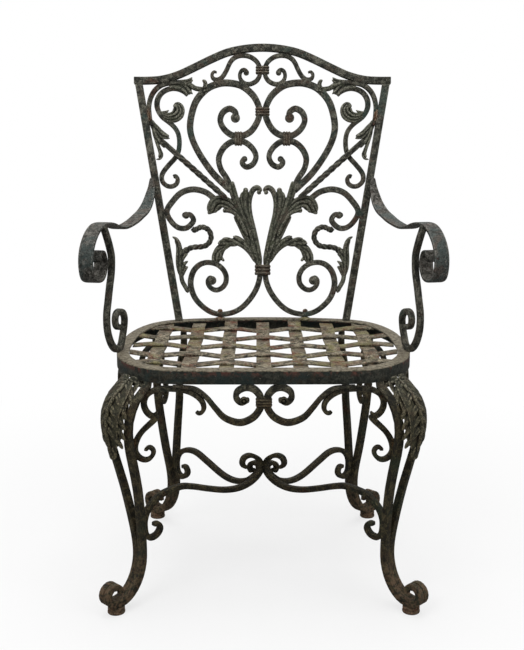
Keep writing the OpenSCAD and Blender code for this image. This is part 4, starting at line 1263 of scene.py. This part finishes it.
BAR_LEAF = (
    Stroke(((-215, 378, 8), (-208, 366.5, 10), (-201.5, 356.5, 8)), lift=-0.4, depth=0.25),
    Stroke(((-226, 405, 8.6), (-222.6, 395, 9.6), (-217, 384, 11), (-212, 375, 9)), lift=-0.2, depth=0.4),
    Stroke(((-212, 384, 9), (-203, 375.6, 11), (-195, 370.6, 10), (-188.6, 368.6, 7)), curl=1, depth=0.3),
    Stroke((
        (-223.4, 403, 8), (-219.6, 395.6, 9), (-213.3, 389.5, 9.1), (-204, 380.3, 8.1), (-194.8, 373.9, 6.5),
        (-188.1, 371.7, 4)), curl=1.5),
    Stroke((
        (-219.7, 395.9, 5), (-207.6, 382.6, 5.5), (-198.6, 374.2, 6.5),
        (-187.7, 370.2, 6)), lift=1.6, curl=1.5),
    Stroke((
        (-217.9, 387.7, 5), (-206.1, 371.4, 5.7), (-196, 367.2, 5.5), (-186.4, 366.2, 4)), lift=0.6, curl=1.5),
    Stroke((
        (-220.7, 391.5, 6.3), (-213.5, 370.8, 6.5), (-204.5, 356.8, 6.3),
        (-196.8, 346.4, 3.8)), lift=1.4, curl=2),
    Stroke((
        (-221.2, 395.4, 6.5), (-218, 373.9, 6.4), (-211, 355, 6.6), (-205.9, 342.3, 6.8), (-202.6, 333.3, 6.5),
        (-206.2, 325.6, 5.2), (-214.1, 323.9, 3.1)), lift=0.2, curl=2),
    Stroke((
        (-220, 384, 5), (-214.5, 362, 6), (-208.8, 346, 6.5), (-206.4, 335, 6),
        (-209, 328, 4)), lift=1.2, curl=2.5),
)

VOLUTE = (
    Stroke((
        (-200, 410.4, 8), (-188, 405.6, 12), (-176, 407, 15), (-168.6, 416.6, 18), (-170.6, 427.6, 17),
        (-174.6, 432.6, 11)), lift=-0.2, curl=0.8, depth=0.22),
    Stroke((
        (-201.1, 408.7, 4), (-188.3, 400.9, 6), (-174.2, 401.9, 7.3), (-162.9, 410, 7.3), (-159.3, 422.7, 6.5),
        (-162.9, 432.7, 5.8), (-170.3, 436.9, 5.3), (-177.7, 434.3, 5)), curl=1),
    Stroke((
        (-201.1, 411.2, 4.4), (-188.3, 406.1, 5.6), (-175.5, 407.4, 6), (-166.5, 415.1, 6), (-164.6, 424, 5.9),
        (-169.1, 431, 5.8), (-176.5, 431.9, 5)), lift=1.3, curl=1.2),
    Stroke((
        (-201.1, 413.8, 4.4), (-188.3, 411.2, 5.6), (-178.1, 413.8, 5.8), (-171.6, 420.2, 5.8),
        (-171.2, 427, 5.5), (-175.5, 430.6, 5)), lift=2, curl=1.6),
    Stroke((
        (-202.4, 417.6, 5), (-192.2, 415.4, 5), (-182.9, 417.2, 4.5), (-178.9, 422, 4),
        (-178, 427.1, 3.8)), lift=1, curl=2),
    Stroke(((-172.5, 428.5, 9), (-175.5, 430.5, 10), (-178.5, 428.5, 6)), lift=2, curl=1.5),
    Stroke(((-204.4, 419.2, 3.8), (-194.7, 419.7, 4.6), (-187.8, 422.4, 3.4)), lift=0.6, curl=1.5),
)

CORNER = (
    Stroke(((-192, 475, 6), (-176, 472.6, 9), (-162, 473, 9)), lift=-0.8, depth=0.3),
    Stroke(((-121.5, 468.5, 4.5), (-119, 466, 5.5)), lift=6.4),
    Stroke(((-114.5, 469.5, 5), (-113, 466.5, 6)), lift=6.8),
    Stroke(((-109.8, 463, 4.5), (-111, 459.5, 5.5)), lift=6.4),
    Stroke(((-117, 462, 5), (-115, 459, 6)), lift=7),
    Stroke(((-114.5, 455.5, 5), (-112, 455, 5)), lift=6),
    Stroke(((-164, 475.6, 9), (-154, 469.4, 11.5), (-147.6, 461.4, 12), (-144, 456.6, 8)), curl=2, depth=0.25),
    Stroke((
        (-160, 478, 8), (-149.5, 474.6, 10), (-143, 471.6, 10.5), (-135.7, 466.9, 10.4), (-126.7, 465, 10.4),
        (-117, 464, 10.4)), lift=0.8, depth=0.75),
    Stroke(((-120.6, 467, 9), (-115.6, 464, 14), (-112.6, 459, 11)), lift=2.4, depth=0.5),
    Stroke((
        (-115.4, 466, 10.5), (-114.6, 474, 9.4), (-116, 479.4, 8.2), (-120.6, 482.8, 5.4)), lift=1.6, curl=2),
    Stroke((
        (-176.7, 480.6, 6.3), (-161.3, 480.9, 6.8), (-148.5, 482.6, 6.8),
        (-140.8, 488, 4.3)), lift=-0.4, curl=2.5),
    Stroke((
        (-169, 476.3, 5.7), (-156.2, 476.3, 6.4), (-145.9, 478.4, 6), (-139.5, 483.3, 3.8)), lift=1, curl=3),
    Stroke((
        (-163.9, 476.3, 5.7), (-153.6, 469.9, 6.6), (-147.2, 461.5, 6.4),
        (-140.1, 454.5, 4.3)), lift=0.6, curl=3),
    Stroke((
        (-166.4, 474.4, 5), (-157.5, 466.1, 5.6), (-150.4, 458.4, 5.4), (-145, 454.3, 3.8)), lift=-0.6, curl=2),
    Stroke((
        (-188.6, 468.4, 7.5), (-176.7, 468.8, 8), (-163.9, 464.8, 8), (-154.9, 458.4, 6.5),
        (-150.5, 451.8, 3.8)), lift=0.8, curl=2),
    Stroke(((-116.2, 468.6, 8.8), (-114.9, 461, 11), (-115.2, 454, 6.3)), lift=1.8, curl=1),
)

# Ridges of the left knee leaf: its rib with the rolled tip, and the thin skin on one side of it.
KNEE_RIB = (
    Stroke(((0, 414, 7), (0, 390, 7), (0, 360, 7), (0, 330, 7), (0, 304, 7), (0.5, 288, 7)), lift=1.8, depth=0.7),
    Stroke(((-6, 306, 6), (-6.5, 294, 7), (-5, 285.5, 6)), lift=0.8, curl=3),
    Stroke(((6, 306, 6), (6.5, 294, 7), (5, 285.5, 6)), lift=0.8, curl=3),
    Stroke(((0, 300, 12), (0.5, 290, 16), (0.5, 282.5, 13)), lift=1.2, curl=5, depth=0.45),
)

KNEE_SKIN = (
    Stroke(((5, 415, 14), (12, 392, 26), (12, 355, 25), (10, 322, 21), (5, 296, 13)), lift=-1.2, depth=0.12),
    Stroke(((1, 413, 16), (13, 412, 18), (27, 408, 15)), lift=-1.2, depth=0.14),
    Stroke(((21, 396, 13), (22, 362, 14), (20, 332, 13), (14, 309, 9)), lift=-1.2, depth=0.12),
    Stroke(((14, 414.5, 18), (20, 404, 16), (22, 392, 11)), lift=-1.4, depth=0.12),
)

# Points of a lobe's ridge: shares of its reach, of its fall and of how far it runs ahead, and the width there.
KNEE_LOBE = ((0.42, 0.26, 0.6, 7.4), (0.8, 0.62, 0.8, 8.8), (1.0, 1.0, 1.0, 6.6))


def place_pair(left: Mesh, name: str, node: str, slot: Slot, paint: Material) -> None:
    """Places a shape of the left side and its mirror image.

    Args:
        left: the left shape.
        name: name of both, with a place for the side.
        node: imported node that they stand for, with a place for the side, or nothing.
        slot: the record's slot of their finish.
        paint: material.
    """
    for side, shape in zip(SIDES, (left, mirrored(left))):
        place(shape, name.format(side), [node.format(side)] if node else [], slot, paint)


@dataclass
class Smithwork:
    """Collars, eyes, rivets, welds and the bars that are drawn again, closer to the old chair's."""

    paints: Paints
    front: Ground = Ground.leaning((0.0, -243.56, 0.0), 0.0)
    arm_side: Ground = Ground.upright((-286.0, -189.56), (-222.1, 196.24))
    front_crossing: Ground = Ground.upright((-221.9, -199.5), (0.0, -20.06))
    rear_crossing: Ground = Ground.upright((-188.9, 159.3), (0.0, -20.06))
    bracket_side: Ground = Ground.upright((-94.0, -242.7), (-223.0, -220.6))
    support: Ground = Ground((0, 0, 0), ((1, 0, 0), (0, 1, 0), (0, 0, 1)), (0.96, -0.279, 0.0))
    collars: tuple[Collar, ...] = (
        Collar(0, 503.2, 26.6, 15.6, 14.6), Collar(0, 419.6, 28.2, 16.4, 15.2), Collar(0, 101.8, 31, 20.6, 16.5),
        Collar(-48.6, 365.8, 27.4, 15.2, 14.6, lying=True), Collar(48.6, 365.8, 27.4, 15.2, 14.6, lying=True))
    apron_collar: Collar = Collar(0, 384.2, 26.8, 14.6, 14.2)
    rivets: tuple[Rivet, ...] = (Rivet(-86, 16.8, 5.2, 6.4), Rivet(86, 16.8, 5.2, 6.4))
    eyes: tuple[tuple[str, Eye], ...] = (
        ("heart_scroll", Eye(-54.6, 407.4, 9.3)), ("crest_scroll", Eye(-32.6, 498.2, 5.6, 10.4)),
        ("inner_scroll", Eye(-36.2, 324.9, 5.8)), ("side_scroll", Eye(-154.4, 212.0, 7.0)),
        ("base_scroll", Eye(-102.4, 80.6, 9.0)))
    apron_eye: Eye = Eye(-33.2, 387.1, 6.2, 10.6)

    def bars(self) -> tuple[tuple[Forging, Stroke, str], ...]:
        """Bars that are drawn again.

        Returns:
            Way of forging, line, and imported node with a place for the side, of each.
        """
        hook = Twist(BACK.at, thick=9.6, turn=math.radians(1170), start=0.04, stop=0.92, samples=14)
        return (
            (Forging(BACK.at, thick=10.6), CREST, "{}_crest_scroll"),
            (Twist(BACK.at, thick=10.8), TWISTED, "{}_twisted_bar"),
            (Forging(BACK.at, thick=8.2), CORNER_S, "{}_corner_s"),
            (Forging(BACK.at), CORNER_SCROLL, "{}_corner_scroll"),
            (Forging(BACK.at), BASE_SCROLL, "{}_base_scroll"),
            (hook, HOOK, "{}_hook_bar"),
            (Strap(self.arm_side.at), ARM, "{}_arm"),
            (Forging(self.support.at, thick=10.7), SUPPORT, "{}_arm_support"),
            (Forging(self.front_crossing.at, thick=11.3), FRONT_CROSSING, "front_{}_stretcher"),
            (Forging(self.rear_crossing.at, thick=11.3), REAR_CROSSING, "rear_{}_stretcher"),
        )

    def replaced(self) -> set[str]:
        """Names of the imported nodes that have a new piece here."""
        drawn = {node.format(side) for side in SIDES for *_, node in self.bars()}
        return drawn | {"back_collars", "apron_collar", "back_bosses", "front_brackets"}

    def fittings(self, parts: Iterable[Fitting], ground: Ground) -> Mesh:
        """Makes one mesh of small fittings.

        Args:
            parts: the fittings.
            ground: where they sit.

        Returns:
            The mesh.
        """
        bm = bmesh.new()
        bm.verts.layers.float.new(GROOVE)
        for part in parts:
            part.add(bm, ground)
        return polished(bm)

    def brackets(self, thick: float = 9.6) -> Mesh:
        """Draws the front brackets of both sides.

        Args:
            thick: depth of their bars.

        Returns:
            The brackets.
        """
        bm = Forging(self.bracket_side.at, thick=thick).draw(BRACKET)
        bmesh.ops.mirror(bm, geom=[*bm.verts, *bm.edges, *bm.faces], merge_dist=0.0, axis="X")
        return polished(bm)

    def build(self) -> None:
        """Forges and places everything."""
        ribbed, rusty, bars = self.paints[Extra.COLLARS], self.paints[Extra.WELDS], self.paints[Slot.BARS]
        for parts, ground, name, node, paint in (
                (self.collars, BACK, "ribbed_collars", "back_collars", ribbed),
                ([self.apron_collar], self.front, "ribbed_apron_collar", "apron_collar", ribbed),
                (self.rivets, BACK, "foot_rivets", "back_bosses", rusty)):
            place(self.fittings(parts, ground), name, [node], Slot.BARS, paint)
        scrolls = [(scroll, BACK, eye) for scroll, eye in self.eyes]
        for scroll, ground, eye in (*scrolls, ("apron_scroll", self.front, self.apron_eye)):
            place_pair(self.fittings([eye], ground), "{}_" + scroll + "_eye", "", Slot.BARS, bars)
        place(self.brackets(), "front_brackets_drawn", ["front_brackets"], slot_of("front_brackets"), bars)
        place_pair(Casting(self.bracket_side.at).cast(BRACKET_WELD), "{}_bracket_weld", "", Slot.BARS, rusty)
        for forging, stroke, node in self.bars():
            slot = slot_of(node.format(SIDES[0]))
            place_pair(forging.draw([stroke]), node + "_drawn", node, slot, self.paints[slot])
        place_pair(Casting(BACK.at).cast(RUST_WELDS), "{}_corner_weld", "", Slot.BARS, rusty)
        place_pair(Casting(BACK.at).cast(FOOT_WELDS), "{}_foot_weld", "", Slot.STRAPS, self.paints[Slot.STRAPS])


@dataclass
class CastLeaves:
    """Cast leaves of the back and of the knees, left and right.

    A lobe of a knee leaf has its top, its tip and its reach from the rib. Each of its ridges runs a little ahead
    of the lobe or behind it, is a little shorter, and has its own lift and curl. knee_set is the leaf's level.
    """

    paint: Material
    knee: Knee = Knee()
    knee_set: float = -5.0
    lobes: tuple[Point, ...] = (
        (416, 402, 34), (409, 378, 32), (393, 356, 30), (374, 338, 29.5), (356, 321, 28), (339, 306, 23))
    ridges: tuple[Point, ...] = ((7.0, 3.0, -0.5, 1.6), (-0.5, 0.0, 0.8, 2.1))

    def knee_ridge(self, stroke: Stroke, side: int = 1) -> Stroke:
        """Turns a ridge to one side of the rib, and sets it at the leaf's level."""
        line = tuple((side * across, *rest) for across, *rest in stroke.line)
        return replace(stroke, line=line, lift=stroke.lift + self.knee_set)

    def knee_lobe(self, top: float, tip: float, reach: float) -> list[Stroke]:
        """Ridges of one lobe.

        Args:
            top: height where it leaves the rib.
            tip: height of its tip.
            reach: distance of its tip from the rib.

        Returns:
            The ridges.
        """
        made = []
        for ahead, short, lift, curl in self.ridges:
            line = [(1.5, top + 0.5 * ahead - 1, 5)]
            for out, down, forward, width in KNEE_LOBE:
                line.append((out * (reach - short), top - down * (top - tip) + forward * ahead, width))
            made.append(Stroke(tuple(line), lift, curl))
        return made

    def knee_strokes(self) -> list[Stroke]:
        """Ridges of a knee leaf: a rib with a rolled tip, and a thin skin and lobes on both sides."""
        sides = [*KNEE_SKIN, *(ridge for lobe in self.lobes for ridge in self.knee_lobe(*lobe))]
        return [self.knee_ridge(stroke) for stroke in KNEE_RIB] + [
            self.knee_ridge(stroke, side) for side in (1, -1) for stroke in sides]

    def build(self) -> None:
        """Casts each leaf and its mirror image, and places them."""
        leaves = {"stem_leaf": STEM, "base_leaf": BASE, "side_leaf": SIDE, "bar_leaf": BAR_LEAF,
                  "volute_leaf": VOLUTE, "corner_leaf": CORNER, "knee_leaf": self.knee_strokes()}
        for name, strokes in leaves.items():
            ground = self.knee if name == "knee_leaf" else BACK
            node = "{}_" + name
            place_pair(Casting(ground.at).cast(strokes), node + "_casting", node, Slot.LEAVES, self.paint)


@dataclass(frozen=True)
class Lamp:
    """Square soft lamp that looks at the chair, in metres and watts."""

    name: str
    at: Point
    size: float
    power: float

    def hang(self, target: Point) -> None:
        """Adds the lamp.

        Args:
            target: point that it looks at.
        """
        data = bpy.data.lights.new(self.name, "AREA")
        data.size = self.size
        data.energy = self.power
        lamp = bpy.data.objects.new(self.name, data)
        lamp.location = self.at
        lamp.rotation_euler = (Vector(target) - Vector(self.at)).to_track_quat("-Z", "Y").to_euler()
        bpy.context.scene.collection.objects.link(lamp)


@dataclass
class Studio:
    """Pale floor, soft lamps and the photographer's camera.

    The floor is seen in the tone of paper near the chair and as plain white further off, and throws back less
    light than it shows.
    """

    eye: tuple[float, float, float] = (-0.0113, -1.9446, 0.885)
    pitch: float = 12.24
    yaw: float = -0.00475
    focal_px: float = 1060.0
    picture: tuple[int, int] = (524, 650)
    sensor: float = 36.0
    floor: float = 12.0
    paper: Colour = (0.8, 0.8, 0.8)
    bounce: Colour = (0.3, 0.3, 0.3)
    glow: float = 0.72
    glow_rise: tuple[float, float] = (0.35, 1.3)
    sky_level: float = 0.4
    middle: Point = (0.0, 0.0, 0.5)
    lamps: tuple[Lamp, ...] = (
        Lamp("key", (-1.6, -2.4, 2.9), 1.6, 44.0), Lamp("fill", (2.2, -1.8, 1.8), 2.0, 20.0),
        Lamp("top", (0.0, 0.2, 3.4), 2.2, 70.0))

    def camera(self) -> None:
        """Sets the camera as in the photograph."""
        data = bpy.data.cameras.new("camera")
        data.sensor_width = self.sensor
        data.lens = self.focal_px * self.sensor / max(self.picture)
        camera = bpy.data.objects.new("camera", data)
        camera.location = self.eye
        camera.rotation_euler = (math.radians(90 - self.pitch), 0, self.yaw)
        bpy.context.scene.collection.objects.link(camera)
        bpy.context.scene.camera = camera

    def white_floor(self) -> None:
        """Lays a pale floor that keeps a soft shadow."""
        bm = bmesh.new()
        bmesh.ops.create_grid(bm, x_segments=1, y_segments=1, size=self.floor)
        mesh = bpy.data.meshes.new("floor")
        bm.to_mesh(mesh)
        bm.free()
        floor = bpy.data.objects.new("floor", mesh)
        bpy.context.scene.collection.objects.link(floor)
        g = Graph(bpy.data.materials.new("floor_paper"))
        seen = g.node("LightPath").outputs["Is Camera Ray"]
        plain = g.node("BsdfDiffuse", Color=g.mix(seen, self.bounce, self.paper))
        away = g.node("VectorMath", Vector=g.place)
        away.operation = "LENGTH"
        white = g.math("ADD", g.step(away.outputs["Value"], *self.glow_rise, 1.0 - self.glow), self.glow)
        g.show(g.mix_shaders(g.both(seen, white), plain, g.node("Emission", Color=WHITE, Strength=1.0)))
        mesh.materials.append(g.owner)

    def sky(self) -> None:
        """Even white light from all round, seen and mirrored as plain white."""
        world = bpy.data.worlds.new("studio")
        bpy.context.scene.world = world
        g = Graph(world)
        ray = g.node("LightPath").outputs
        mirrors = g.math("MAXIMUM", ray["Is Glossy Ray"], ray["Is Transmission Ray"])
        light = g.node("Background", Color=WHITE, Strength=self.sky_level)
        white = g.node("Background", Color=WHITE, Strength=1.0)
        g.show(g.mix_shaders(g.math("MAXIMUM", ray["Is Camera Ray"], mirrors), light, white))

    def build(self) -> None:
        """Sets the whole stage."""
        self.camera()
        self.white_floor()
        self.sky()
        for lamp in self.lamps:
            lamp.hang(self.middle)
        bpy.context.scene.view_settings.view_transform = "Standard"


def main() -> None:
    """Builds the stage, then the chair piece by piece."""
    logging.basicConfig(level=logging.INFO, format="%(message)s")
    Studio().build()
    paints = Finishes().build()
    CastLeaves(paints[Slot.LEAVES]).build()
    smith = Smithwork(paints)
    smith.build()
    plain = (node for node in frame["nodes"] if not node.endswith("_leaf") and node not in smith.replaced())
    ForgedBars(paints).build(sorted(plain))


if __name__ == "__main__":
    main()
